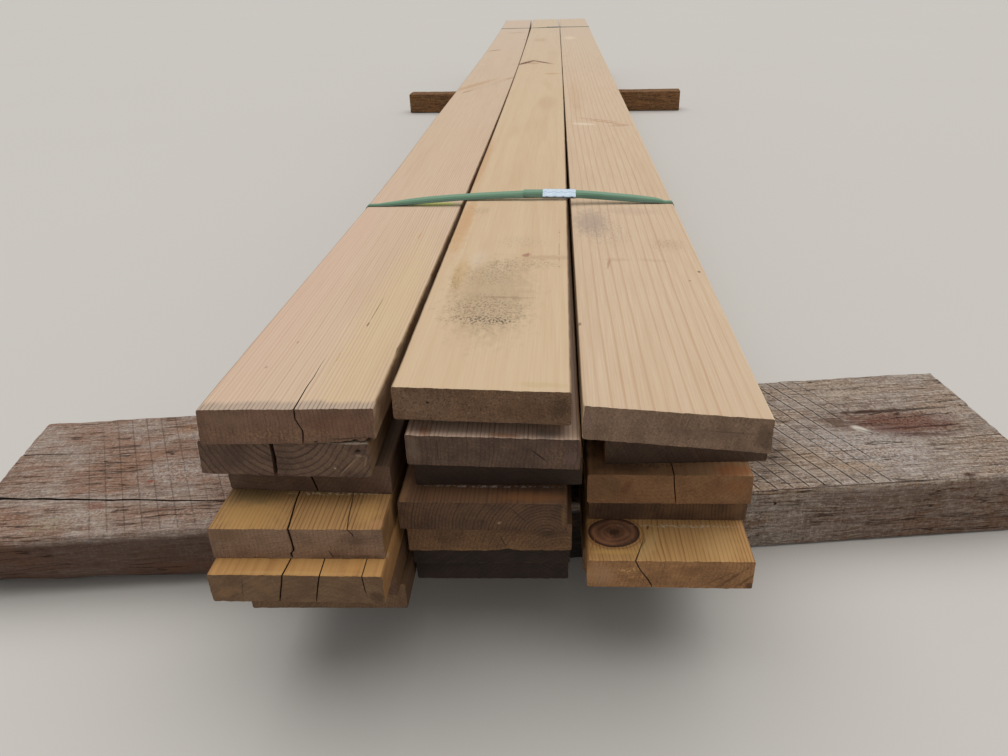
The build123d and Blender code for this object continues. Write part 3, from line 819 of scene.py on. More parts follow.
class Net:
    """The node tree of one material."""

    def __init__(self, name):
        self.material = bpy.data.materials.new(name)
        self.material.use_nodes = True
        self.tree = self.material.node_tree
        self.tree.nodes.clear()

    def node(self, kind, settings=None, sockets=None, out=0):
        """Adds a node: its settings first, then the values or links of its sockets."""
        made = self.tree.nodes.new(kind)
        for key, value in (settings or {}).items():
            setattr(made, key, value)
        for key, value in (sockets or {}).items():
            socket = made.inputs[key]
            if isinstance(value, Wire):
                self.tree.links.new(value.socket, socket)
            elif socket.type == "RGBA" and len(value) == 3:
                socket.default_value = (*value, 1.0)
            else:
                socket.default_value = value
        return Wire(self, made.outputs[out])

    def flag(self, name):
        """A number stored on the mesh's faces."""
        return self.node("ShaderNodeAttribute", {"attribute_name": name}, {}, "Fac")

    def place(self):
        """A point's place in its piece before the piece was bent (mm), and the three parts of it."""
        place = self.node("ShaderNodeAttribute", {"attribute_name": "place"}, {}, "Vector") * 1000.0
        split = self.node("ShaderNodeSeparateXYZ", {}, {0: place})
        return place, *[Wire(self, socket) for socket in split.socket.node.outputs]

    def noise(self, vector, cell=None, detail=2.0, roughness=0.5, distortion=0.0):
        """Noise from 0 to 1, with cells of a size of their own each way, or one cell to a unit."""
        if cell:
            vector = vector * tuple(1 / size for size in cell)
        return self.node(
            "ShaderNodeTexNoise",
            {"noise_dimensions": "3D"},
            {"Vector": vector, "Scale": 1.0, "Detail": detail, "Roughness": roughness,
             "Lacunarity": 2.0, "Distortion": distortion},
            "Fac",
        )

    def step(self, value, low, high):
        """0 below low, 1 above high, and smooth between them. It falls where low is above high."""
        return self.node(
            "ShaderNodeMapRange",
            {"interpolation_type": "SMOOTHSTEP"},
            {"Value": value, "From Min": low, "From Max": high, "To Min": 0.0, "To Max": 1.0},
        )

    def white(self, number):
        """A number from 0 to 1 that differs for each whole number."""
        return self.node("ShaderNodeTexWhiteNoise", {"noise_dimensions": "1D"}, {"W": number}, "Value")

    def call(self, operation, *values):
        """A Math node."""
        return self.node("ShaderNodeMath", {"operation": operation}, dict(enumerate(values)))

    def mix(self, share, first, second, blend="MIX"):
        """Blend of two colours."""
        made = self.tree.nodes.new("ShaderNodeMix")
        made.data_type = "RGBA"
        made.blend_type = blend
        made.clamp_factor = True
        ends = {"Factor": share, "A": first, "B": second}
        for socket in made.inputs:
            if not socket.enabled or socket.name not in ends:
                continue
            value = ends[socket.name]
            if isinstance(value, Wire):
                self.tree.links.new(value.socket, socket)
            else:
                socket.default_value = (*value, 1.0) if socket.type == "RGBA" else value
        return Wire(self, next(s for s in made.outputs if s.enabled))

    def layers(self, colour, *rows):
        """Lays colours over one another: each row has a mask, where it starts and ends, a share and a colour."""
        for mask, low, high, share, shade, *blend in rows:
            colour = self.mix(self.step(mask, low, high) * share, colour, shade, *blend)
        return colour

    def finish(self, colour, roughness, height=None, bump=0.5, distance=0.001, **fixed):
        """Principled shader from a colour, a roughness and a height; fixed holds its plain numbers."""
        sockets = {"Base Color": colour, "Roughness": roughness}
        if height is not None:
            bumps = {"Height": height, "Strength": bump, "Distance": distance}
            sockets["Normal"] = self.node("ShaderNodeBump", {}, bumps)
        sockets.update({key.replace("_", " "): value for key, value in fixed.items()})
        shader = self.node("ShaderNodeBsdfPrincipled", {}, sockets)
        made = self.tree.nodes.new("ShaderNodeOutputMaterial")
        self.tree.links.new(shader.socket, made.inputs["Surface"])
        return self.material


# How each board looks. face and late: screen colours of the early and late wood on the long faces;
# end and end_late: on the sawn ends; side: on the narrow sides, where on most boards it is darker than the wood:
# that is painted shade from the gaps between the columns; ring: spacing of the growth rings (mm);
# pith: the tree's centre in the section (across, up) (mm); sway: how far rings wander (mm); show: contrast of
# the rings (face, end); sharp: share of a ring before its late wood begins; taper: how much the rings grow with
# the distance along; blotch: share of the broad darker drifts; sawn: strength of the saw's streaks on an end;
# grain: strength of the fine specks there; knots: centre and reach (across, along, up) (mm); weathered: how far
# back from its end a grey band on the top reaches (mm).
PLAIN = dict(
    face=(204, 166, 116), late=(168, 118, 70), end=(122, 92, 68), end_late=(84, 58, 42), ring=5.0,
    pith=(30, -70), sway=7.0, show=(0.55, 0.45), sharp=0.25, taper=0.002, blotch=0.3, knots=[],
    side=(150, 110, 70), sawn=1.0, grain=1.0,
)
LOOKS = {
    "left_1": dict(
        face=(216, 194, 168), late=(190, 152, 124), end=(122, 92, 74), end_late=(84, 60, 47), ring=4.5,
        pith=(-300, -40), sway=4.0, show=(0.75, 0.6), sharp=0.52, taper=0.0, blotch=0.15, weathered=15,
        side=(116, 80, 46), sawn=0.4, grain=1.7,
    ),
    "left_2": dict(
        face=(158, 142, 124), late=(108, 90, 74), end=(108, 84, 68), end_late=(54, 37, 30), ring=6.5,
        pith=(2, 46), sway=3.0, show=(0.5, 0.8), sharp=0.5, side=(112, 78, 42), sawn=0.5,
    ),
    "left_3": dict(
        face=(96, 74, 56), late=(66, 50, 38), end=(104, 80, 64), end_late=(76, 56, 44), ring=4.5,
        pith=(-60, 80), side=(84, 60, 42), sawn=0.5,
    ),
    "left_4": dict(
        face=(188, 146, 94), late=(112, 72, 40), end=(140, 112, 90), end_late=(92, 68, 54), ring=4.4,
        pith=(-420, 0), sway=2.0, show=(0.85, 0.3), sharp=0.5, side=(110, 76, 44), sawn=0.7, grain=1.7,
    ),
    "left_5": dict(
        face=(196, 150, 92), late=(150, 104, 58), end=(122, 94, 68), end_late=(88, 64, 44), ring=6.0,
        pith=(20, -90), sway=8.0, show=(0.5, 0.3), side=(140, 100, 60), sawn=0.5,
    ),
    "left_6": dict(
        face=(116, 88, 62), late=(82, 60, 42), end=(104, 76, 56), end_late=(74, 53, 40), side=(100, 70, 44),
    ),
    "left_7": dict(
        face=(116, 90, 64), late=(84, 62, 44), end=(120, 92, 66), end_late=(84, 62, 46), side=(92, 66, 44),
    ),
    "middle_1": dict(
        face=(214, 190, 158), late=(196, 162, 124), end=(118, 90, 67), end_late=(86, 62, 44), ring=9.0,
        pith=(14, -180), sway=16.0, show=(0.25, 0.22), taper=0.004, side=(96, 70, 48), sawn=0.4, grain=2.2,
    ),
    "middle_2": dict(
        face=(216, 190, 170), late=(150, 114, 90), end=(100, 78, 64), end_late=(60, 44, 36), ring=4.6,
        pith=(-500, 0), sway=3.0, show=(0.85, 0.55), sharp=0.45, sawn=0.3, grain=1.3,
    ),
    # The dark end and side of middle_3 are partly painted shade: its end sits back in the shade under the boards
    # above.
    "middle_3": dict(end=(60, 44, 33), end_late=(44, 31, 24), side=(72, 52, 38)),
    "middle_4": dict(
        face=(120, 86, 60), late=(70, 48, 34), end=(100, 72, 51), end_late=(50, 34, 25), ring=4.0,
        pith=(70, -26), sway=3.5, show=(0.7, 0.85), sharp=0.45, sawn=0.3, grain=1.3, side=(84, 60, 40),
    ),
    "middle_5": dict(
        face=(112, 84, 58), late=(80, 58, 42), end=(118, 86, 58), end_late=(72, 50, 34), ring=4.6,
        pith=(80, -34), sway=4.0, show=(0.5, 0.5), sawn=0.4, grain=1.6, side=(84, 60, 40),
    ),
    # The dark ends and sides of middle_6 and middle_7 are partly painted shade: their ends sit back in the shade under
    # the boards above.
    "middle_6": dict(end=(50, 36, 27), end_late=(34, 25, 20), side=(66, 48, 36)),
    "middle_7": dict(end=(50, 36, 28), end_late=(34, 25, 20), side=(66, 48, 36)),
    "right_1": dict(
        face=(216, 194, 166), late=(184, 142, 108), end=(132, 107, 87), end_late=(100, 78, 62), ring=12.5,
        pith=(-420, -90), sway=3.5, show=(0.55, 0.2), sharp=0.66, taper=0.006, blotch=0.14,
        side=(228, 202, 168), sawn=0.6, grain=1.6,
    ),
    # The dark end of right_2 is partly painted shade: it sits far back in the shade under right_1.
    "right_2": dict(end=(58, 44, 34), end_late=(42, 32, 25), side=(120, 84, 50)),
    "right_3": dict(end=(84, 64, 50), end_late=(62, 46, 35)),
    "right_4": dict(
        face=(186, 146, 108), late=(128, 88, 58), end=(140, 102, 68), end_late=(98, 67, 43), ring=5.0,
        pith=(-20, 120), show=(0.4, 0.25), sawn=0.4, grain=1.2,
    ),
    "right_5": dict(
        end=(112, 84, 60), end_late=(62, 43, 31), ring=4.4, pith=(400, 10), show=(0.5, 0.55), sawn=0.2,
    ),
    "right_6": dict(
        face=(224, 178, 118), late=(160, 108, 56), end=(160, 118, 78), end_late=(108, 74, 46), ring=4.4,
        pith=(-260, 50), sway=3.5, show=(0.8, 0.45), sharp=0.5, sawn=0.6, grain=1.2,
        knots=[(-59.5, 47, 19, 30, 25.5, 30)],
    ),
}

# Marks: place, reach, screen colour, share, kind (a patch if none is given), lean (none if none is given). A patch
# has a soft ragged edge, a line an even one, flecks are a patch broken into specks, a rim is a knot's edge.
# These are on a board's near end, with place and reach across and up (mm).
END_MARKS = {
    "left_1": [
        (52, 1, 44, 15, (116, 76, 54), 0.3), (-10, -9, 84, 9, (158, 124, 84), 0.4, "flecks"),
        (-60, 8, 30, 10, (132, 106, 84), 0.4), (30, -17, 2.6, 1.6, (20, 14, 11), 0.9),
        (66, -14.5, 26, 0.9, (34, 24, 18), 0.8, "line"),
    ],
    "left_2": [
        (78, -4, 13, 13, (122, 96, 76), 0.55, "patch", 0.3),
        (70, -5, 1.3, 13, (152, 124, 100), 0.7, "patch", 1.0),
        (87, -2, 1.3, 9, (150, 122, 98), 0.5, "patch", 0.25), (66, -6, 1.0, 12, (40, 28, 23), 0.6, "line", 1.0),
        (80, 5.6, 6, 1.2, (150, 122, 98), 0.6), (77, -7, 0.9, 12, (66, 46, 37), 0.6, "line", 0.9),
        # The last mark on the next line is painted shade in the pit knocked into this end.
        (84, -9, 0.9, 9, (66, 46, 37), 0.6, "line", 0.9), (79, 10, 4.2, 2.4, (18, 12, 10), 0.95, "patch", 0.6),
        (-60, 0, 30, 18, (78, 58, 48), 0.35), (54, -9, 1.6, 1.2, (170, 150, 130), 0.8),
    ],
    "left_4": [
        (35, -13, 1.0, 5.5, (34, 24, 18), 0.8, "line", -0.5), (66, 6, 26, 9, (84, 60, 50), 0.4),
        (-70, 10, 26, 8, (120, 90, 60), 0.4), (60, -16, 34, 3, (70, 52, 40), 0.5),
    ],
    "left_5": [
        (-57, 0, 1.0, 17, (70, 50, 34), 0.55, "line", 0.15),
        (-74, -6, 13, 10, (146, 112, 78), 0.45, "patch", 0.9),
        (-40, 4, 9, 12, (136, 104, 72), 0.35, "patch", -1.0), (84, -10, 10, 10, (64, 44, 30), 0.6),
        (78, 13, 5, 1.4, (176, 146, 112), 0.6, "flecks"), (6, -4, 12, 14, (84, 60, 44), 0.3, "patch", 0.6),
    ],
    "middle_1": [
        (-64, -2, 40, 22, (136, 116, 98), 0.45, "flecks"), (-55, 2, 2.2, 2.2, (36, 26, 20), 0.85),
        (50, -4, 44, 14, (92, 64, 42), 0.4), (80, 0, 12, 14, (62, 46, 34), 0.5),
    ],
    "middle_2": [
        (49, -2, 1.7, 9, (34, 24, 20), 0.85, "line", -1.1),
        (68, -3, 11, 13, (132, 108, 80), 0.45, "flecks", 0.3), (83, -4, 8, 12, (116, 92, 88), 0.4),
        (72, 10, 4, 8, (84, 58, 44), 0.5, "rim", -0.4), (-84, 0, 8, 18, (124, 104, 88), 0.5),
        (-58, 2, 0.8, 16, (44, 32, 28), 0.7, "line"),
    ],
    "middle_4": [
        (18, -8, 2.2, 2.6, (164, 138, 112), 0.7, "patch", 0.4), (88, 0, 3, 18, (120, 86, 52), 0.6),
        (40, 2, 1.2, 13, (44, 30, 22), 0.6, "line", -0.9),
    ],
    "middle_5": [
        (0, -17, 90, 2.6, (150, 112, 68), 0.55, "flecks"), (15, -5, 1.0, 11, (46, 32, 22), 0.7, "line", -0.4),
        (70, 6, 26, 8, (58, 42, 32), 0.5),
    ],
    "right_1": [
        (-40, 4, 46, 13, (140, 116, 102), 0.3, "flecks"), (84, -3, 12, 18, (72, 54, 42), 0.55),
        (30, -2, 50, 9, (98, 78, 64), 0.35), (40, -11, 7, 3, (132, 108, 90), 0.5, "flecks"),
        (-86, 0, 5, 14, (132, 106, 100), 0.4), (52, 1, 28, 0.8, (60, 46, 38), 0.4, "line"),
    ],
    "right_2": [(80, -8, 14, 12, (130, 84, 44), 0.5), (20, 0, 40, 1.0, (30, 22, 17), 0.5, "flecks")],
    "right_4": [
        (52, 1, 15, 13, (112, 66, 40), 0.3, "patch", 0.3), (76, 4, 15, 14, (140, 88, 50), 0.4),
        (-68, 0, 14, 17, (104, 78, 50), 0.4), (-48, 4, 6, 12, (112, 66, 38), 0.5, "patch", 0.3),
    ],
    "right_5": [(-52, 0, 44, 22, (62, 44, 36), 0.5), (80, 0, 10, 16, (134, 98, 62), 0.4)],
    "right_6": [
        (-76, -1, 18, 17, (166, 130, 98), 0.5), (-44, 5, 15, 5, (214, 166, 100), 0.7, "flecks", 1.6),
        (-36, -4, 12, 3, (206, 154, 90), 0.6, "flecks", 1.6),
        (68, -4, 4.0, 16, (78, 50, 30), 0.6, "patch", 1.1), (84, -7, 3.6, 13, (84, 54, 32), 0.6, "patch", 1.1),
        (20, 6, 20, 8, (116, 78, 50), 0.4), (88, -15, 7, 6, (64, 42, 26), 0.7),
        (52, -6, 2.0, 12, (88, 58, 36), 0.5, "line", 1.6),
    ],
}

# Marks on a board's top, with place and reach across and along (mm).
MARKS = {
    "left_1": [
        (25.5, 112, 1.3, 21, (172, 132, 52), 0.9, "flecks", -0.03),
        (39.8, 250, 0.9, 48, (96, 70, 40), 0.8, "line", 0.02),
        (38.9, 204, 1.5, 8, (62, 42, 26), 0.9, "line", 0.02),
        (44, 549, 1.3, 19, (186, 124, 66), 0.7, "patch", 0.05),
        (-40, 2246, 26, 190, (186, 146, 104), 0.5, "patch", 0.42),
        (12, 2250, 12, 170, (150, 100, 62), 0.6, "rim", 0.42),
        (-52, 3421, 26, 40, (150, 106, 66), 0.6, "patch", 0.8),
        (14, 4413, 66, 34, (170, 124, 82), 0.4, "patch", 0.5), (81, 3947, 5, 16, (110, 74, 48), 0.7),
        # At 731 along, under the front strap: a yellow-green pool of painted light, which stands for light passing
        # through the strap, and a darker green painted shadow of the strap.
        (38, 731, 56, 15, (184, 190, 92), 0.9), (-30, 731, 50, 8, (74, 104, 62), 0.7),
        (-70, 420, 50, 560, (216, 180, 164), 0.35), (60, 200, 46, 420, (214, 188, 138), 0.35),
        (-51, 92, 2.0, 3, (140, 96, 76), 0.5), (-35, 155, 1.6, 3, (140, 96, 76), 0.5),
    ],
    "middle_1": [
        (-8, 250, 66, 165, (150, 128, 102), 0.34), (-12, 200, 58, 66, (98, 84, 68), 0.5, "flecks"),
        (-12, 174, 46, 15, (84, 72, 60), 0.6, "flecks"), (14, 168, 27, 8, (76, 68, 58), 0.6, "flecks"),
        (-62, 305, 8, 62, (118, 100, 68), 0.6, "flecks", -0.02), (-60, 330, 13, 74, (188, 152, 98), 0.4),
        (-38, 392, 15, 50, (220, 206, 194), 0.22), (-14, 325, 40, 54, (126, 110, 88), 0.4, "flecks"),
        (30, 370, 60, 26, (122, 104, 82), 0.45, "flecks", 0.1),
        (30, 409, 8, 9, (150, 96, 84), 0.7, "patch", 0.4),
        (60, 400, 44, 12, (168, 136, 106), 0.35, "patch", 0.2),
        (10, 244, 44, 5, (128, 100, 74), 0.35, "patch", 0.6), (-80, 560, 16, 190, (196, 146, 96), 0.5),
        (-86, 1000, 10, 300, (192, 142, 92), 0.45), (-84, 470, 10, 30, (206, 172, 128), 0.8, "rim"),
        (78.5, 450, 0.9, 110, (92, 62, 42), 0.8, "flecks"), (20, 470, 50, 34, (156, 140, 120), 0.3, "flecks"),
        (-58, 640, 20, 26, (120, 104, 84), 0.4, "flecks"),
        (-62, 2870, 21, 96, (106, 68, 54), 0.95, "patch", 0.42),
        (4, 2884, 18, 80, (112, 72, 56), 0.9, "patch", -0.62), (-30, 2840, 34, 40, (176, 134, 98), 0.5),
        (52, 2500, 40, 20, (192, 142, 94), 0.6, "patch", 0.3), (60, 14, 30, 8, (184, 160, 104), 0.25),
        (40, 1820, 34, 160, (186, 148, 112), 0.3), (-20, 3900, 44, 130, (188, 152, 116), 0.35),
        # Painted shadow of the front strap at 731 along, where it rides just above this board.
        (10, 731, 84, 9, (92, 84, 56), 0.65),
    ],
    "right_1": [
        (-60, 610, 34, 86, (158, 140, 130), 0.55), (-40, 560, 46, 90, (128, 112, 104), 0.3, "flecks"),
        (10, 676, 66, 26, (176, 152, 134), 0.3), (56, 506, 23, 24, (180, 148, 120), 0.2),
        (52, 500, 34, 36, (158, 130, 108), 0.35, "flecks"),
        (-30, 428, 24, 9, (164, 128, 104), 0.22, "patch", 0.5),
        (22, 430, 26, 8, (168, 134, 110), 0.2, "patch", -0.5),
        (-5, 1540, 9, 36, (160, 112, 80), 0.7, "patch", -1.7),
        (14, 1505, 16, 44, (182, 138, 102), 0.6, "patch", -1.4), (-60, 1950, 20, 420, (196, 156, 118), 0.3),
        (-44, 1478, 34, 22, (236, 220, 200), 0.5, "patch", -0.5),
        (-56, 1760, 22, 60, (170, 140, 112), 0.35, "flecks"), (-44, 3990, 40, 120, (226, 206, 180), 0.6),
        (-90, 195, 3, 6, (120, 84, 60), 0.7), (83, 390, 2.2, 4, (116, 80, 58), 0.8),
        (65, 354, 2, 3, (130, 96, 74), 0.6), (-42, 410, 2.5, 24, (150, 108, 84), 0.5, "patch", 0.12),
        (52, 1460, 30, 20, (170, 122, 90), 0.4, "patch", 0.3),
    ],
    "left_4": [
        (-56, 26, 44, 40, (196, 152, 92), 0.65), (-58, 62, 46, 26, (104, 92, 64), 0.6),
        (30, 60, 66, 3.5, (230, 210, 174), 0.9, "flecks"), (70, 30, 16, 24, (206, 160, 96), 0.4),
        (84, 8, 9, 9, (204, 150, 110), 0.25),
    ],
    "left_5": [
        (89, 34, 6, 6, (196, 160, 124), 0.5), (0, 62, 92, 14, (138, 102, 56), 0.5),
        (0, 4, 92, 3, (220, 182, 122), 0.2), (60, 26, 12, 28, (210, 158, 92), 0.4),
    ],
    "middle_2": [
        (-72, 9, 10, 12, (156, 100, 68), 0.6), (12, 5, 20, 5, (162, 108, 72), 0.6),
        (58, 10, 16, 12, (122, 110, 102), 0.5), (-30, 6, 20, 5, (206, 182, 158), 0.4, "flecks"),
    ],
    "middle_4": [
        (10, 29.5, 84, 2.4, (182, 172, 164), 0.95, "flecks"), (48, 12, 44, 12, (142, 94, 56), 0.5),
        (-86, 20, 6, 30, (150, 112, 76), 0.5), (60, 26, 40, 7, (70, 54, 46), 0.4),
    ],
    "right_4": [
        # The first mark on the next line is painted shade: a near-black strip along the left of the top, in the shade
        # beside the board above and under the top course.
        (-96, 150, 30, 122, (26, 20, 15), 0.95), (-20, 20, 60, 6, (96, 84, 74), 0.7, "flecks"),
        (70, 10, 24, 16, (160, 96, 52), 0.65), (-50, 16, 44, 12, (92, 72, 54), 0.5),
    ],
    "right_6": [
        (20, 59, 76, 3.2, (228, 216, 192), 0.9, "flecks"),
        (-86, 22, 1.0, 24, (176, 112, 50), 0.7, "patch", 0.3),
        (-20, 56, 1.6, 4, (96, 60, 36), 0.8, "patch", 0.3), (-27, 30, 1.5, 9, (84, 52, 32), 0.75, "patch", 0.4),
        (60, 30, 26, 40, (226, 184, 124), 0.4), (-61, 82, 34, 12, (90, 62, 40), 0.5),
        (-61, 14, 34, 5, (232, 186, 104), 0.5), (-22, 26, 10, 30, (230, 196, 134), 0.4, "patch", 0.4),
    ],
}

# How far a mark reaches into its piece (mm).
MARK_DEPTH = 9.0

# Marks on the front bearer's top, across and along (mm).
BEARER_MARKS = [
    (-2, 1386, 42, 112, (116, 76, 62), 0.75, "patch", 0.08), (-38, 1360, 7, 90, (66, 46, 38), 0.85),
    (-2, 1392, 38, 104, (90, 50, 40), 0.9, "flecks", 0.08), (12, 1400, 4, 90, (70, 42, 34), 0.8, "patch", 0.02),
    (34, 1402, 8, 70, (84, 56, 46), 0.7, "patch", 0.1), (-14, 1290, 16, 34, (92, 70, 56), 0.7, "patch", 0.2),
    (9, 1320, 11, 15, (216, 208, 194), 0.95, "patch", 0.5), (19, 1328, 4, 18, (84, 66, 52), 0.7, "patch", 0.8),
    (-10, 168, 8, 22, (160, 106, 66), 0.6, "flecks"), (54, 184, 7, 26, (164, 106, 62), 0.6, "flecks"),
    (88, 172, 12, 16, (124, 70, 50), 0.6), (-104, 243, 16, 24, (176, 128, 74), 0.5, "flecks"),
    (33, 230, 4.5, 6, (134, 48, 28), 0.9), (56, 253, 2.4, 2.4, (52, 36, 28), 0.8),
    (13, 262, 34, 66, (196, 192, 188), 0.55, "flecks"), (107, 151, 26, 62, (190, 182, 170), 0.5, "flecks"),
    (124, 315, 22, 50, (188, 180, 170), 0.5, "flecks"), (122, 118, 20, 34, (166, 156, 96), 0.4, "flecks"),
    (80, 1180, 60, 110, (176, 148, 112), 0.3, "flecks"), (76, 1408, 3, 14, (46, 34, 28), 0.8),
    (142, 1412, 4, 12, (60, 36, 28), 0.8), (70, 1320, 70, 90, (198, 196, 198), 0.6, "flecks"),
    (40, 1250, 60, 44, (182, 180, 182), 0.5, "flecks"), (40, 1140, 84, 56, (80, 66, 58), 0.5),
    (149, 1250, 1.5, 200, (58, 40, 30), 0.85, "line"), (152.5, 1250, 2.0, 180, (204, 164, 112), 0.3, "flecks"),
    (140, 1060, 10, 90, (176, 140, 88), 0.5, "flecks"), (-110, 1330, 44, 90, (196, 176, 150), 0.5, "flecks"),
    (110, 1270, 18, 60, (190, 150, 96), 0.4, "flecks"),
]


def read_mark(cx, cy, rx, ry, shade, share, kind="patch", lean=0.0):
    """The parts of a mark's row, with what the row leaves out."""
    return cx, cy, rx, ry, tone(*shade), share, kind, lean


def mark_mask(net, x, y, z, centre, reach, lean=0.0):
    """Distance from a mark's centre, 1 at its edge, for an ellipsoid that leans along the piece."""
    (cx, cy, cz), (rx, ry, rz) = centre, reach
    dx = (x - cx - (y - cy) * lean) / rx
    dy = (y - cy) / ry
    dz = (z - cz) / rz
    return net.call("SQRT", dx * dx + dy * dy + dz * dz)


def add_marks(net, colour, place, x, y, z, marks, level):
    """Lays each mark of a table over a colour: x and y are the ways of the table, and z is the level's."""
    ragged = net.noise(place, (9, 16, 9), 3.0, 0.65) - 0.5
    flecks = net.step(net.noise(place, (3.2, 4.5, 3.2), 3.0, 0.6), 0.47, 0.6)
    for mark in marks:
        cx, cy, rx, ry, shade, share, kind, lean = read_mark(*mark)
        far = mark_mask(net, x, y, z, (cx, cy, level), (rx, ry, MARK_DEPTH), lean)
        if kind == "rim":
            far = far + ragged * 0.35
            edge = net.step(far, 0.76, 0.98) * net.step(far, 1.16, 1.0) * share
        elif kind == "line":
            edge = net.step(far, 1.1, 0.5) * share
        else:
            edge = net.step(far + ragged * 1.3, 1.15, 0.35) * share
        if kind == "flecks":
            edge = edge * flecks
        colour = net.mix(edge, colour, shade)
    return colour


def wood_material(name):
    """Growth rings round the pith, cut by the board's faces; fibres and a broad drift of colour along it."""
    look = {**PLAIN, **LOOKS.get(name, {})}
    for key in ("face", "late", "end", "end_late", "side"):
        look[key] = tone(*look[key])
    boards = bpy.context.scene.lumber_boards
    net = Net("timber_" + name)
    place, x, y, z = net.place()
    cut, split = net.flag("cut"), net.flag("split")
    seed = sorted(LAY).index(name) * 37.0
    moved = place + (seed, seed * 3, seed * 7)
    sway = net.noise(moved, (80, 1100, 80), 1.0) - 0.5
    ripple = net.noise(moved, (13, 320, 13), 2.0) - 0.5
    dx = x - look["pith"][0] + sway * (look["sway"] * 4)
    dz = z - look["pith"][1]
    radius = net.call("SQRT", dx * dx + dz * dz) + ripple * 3.0 + y * look["taper"] + sway * look["sway"]
    knots = []
    for knot in look["knots"]:
        far = mark_mask(net, x, y, z, knot[:3], knot[3:])
        knots.append(far)
        radius = radius + net.call("EXPONENT", far * far * -0.35) * 9.0
    turn = radius / look["ring"]
    whole = net.call("FLOOR", turn)
    part = turn - whole
    late = net.step(part, look["sharp"], 0.9) * net.step(part, 1.0, 0.93) * (net.white(whole) * 0.6 + 0.4)
    fibre = net.noise(moved, (1.7, 120, 1.7), 3.0, 0.6)
    broad = net.noise(moved, (46, 420, 46), 2.0, 0.55)
    speck = net.noise(moved, (1.8, 1.8, 1.8), 3.0, 0.75)
    cloud = net.noise(moved, (24, 40, 24), 2.0, 0.6)
    angle = 0.6 + seed * 0.35
    turned = net.node("ShaderNodeVectorRotate", {"rotation_type": "Y_AXIS"}, {"Vector": moved, "Angle": angle})
    sawn = net.noise(turned, (1.5, 30, 40), 2.0, 0.6)

    face = net.mix(late * look["show"][0], look["face"], look["late"])
    face = net.mix((fibre - 0.5) * 0.9 + 0.22, face, look["late"])
    face = net.layers(
        face,
        (broad, 0.48, 0.75, look["blotch"], look["late"]),
        (speck, 0.62, 0.8, 0.12, tone(120, 100, 84)),
        # The last layer greys the wood towards the far end: partly dust, partly painted haze.
        (y, 600.0, 5200.0, 0.4, net.mix(cloud, tone(196, 182, 166), tone(214, 202, 188))),
    )
    end = net.layers(
        net.mix(late * look["show"][1], look["end"], look["end_late"]),
        (cloud, 0.35, 0.7, 0.5, look["end_late"]),
        (sawn, 0.52, 0.72, 0.3 * look["sawn"], look["end"], "ADD"),
        (sawn, 0.46, 0.3, 0.4 * look["sawn"], look["end_late"]),
        (speck, 0.54, 0.68, 0.36 * look["grain"], tone(44, 32, 25)),
        (speck, 0.45, 0.32, 0.3 * look["grain"], look["end"], "ADD"),
    )
    if name in END_MARKS:
        end = add_marks(net, end, place, x, z, y, END_MARKS[name], 0.0)
    # The narrow sides take the look's side colour, which on most boards is painted shade from the gaps between the
    # columns.
    side = net.step(abs(x), 89.0, 91.3) * (net.step(cloud, 0.3, 0.6) * 0.3 + 0.55)
    face = net.mix(side, face, look["side"])
    # Painted shade, with some dirt, along each board's bottom edge where it rests on the board below.
    face = net.mix(net.step(z, -16.8, -18.4) * 0.85, face, tone(66, 47, 34))
    for far in knots:
        ring = net.call("SINE", far * 24.0 + cloud * 11.0) * 0.5 + 0.5
        inside = net.step(far + (cloud - 0.5) * 0.12, 1.04, 0.95)
        rim = inside * net.step(far, 0.8, 0.98)
        core = net.mix(ring * 0.45 + net.step(cloud, 0.36, 0.6) * 0.5, tone(168, 114, 84), tone(92, 62, 50))
        core = net.mix(net.step(speck, 0.5, 0.66) * 0.5, core, tone(150, 108, 80))
        core = net.mix(net.step(far + (speck - 0.5) * 0.5, 0.36, 0.16) * 0.8, core, tone(40, 27, 24))
        face = net.mix(inside * 0.94, face, core)
        face = net.mix(rim * 0.9, face, tone(50, 33, 29))
        face = net.mix(net.step(far, 1.02, 1.08) * net.step(far, 1.2, 1.1) * 0.5, face, tone(150, 96, 52))
    if name in MARKS:
        face = add_marks(net, face, place, x, y, z, MARKS[name], boards.thickness / MM / 2)
    if "weathered" in look:
        worn = net.step(y + (cloud - 0.5) * 14, look["weathered"] + 5, look["weathered"] - 6) * net.step(z, 16.0, 18.0)
        face = net.mix(worn * 0.75, face, tone(178, 158, 142))
        face = net.mix(worn * late * 0.7, face, tone(96, 80, 72))
    colour = net.mix(cut, face, end)
    colour = net.mix(split * 0.97, colour, tuple(boards.shadow))
    roughness = 0.72 + (speck - 0.5) * 0.2
    height = (fibre * 0.8 + late * 0.5) * (1.0 - cut) + (speck + sawn * 0.9 + late * 0.4) * cut
    return net.finish(colour, roughness, height, 0.45, 0.0008, Specular_IOR_Level=0.3)


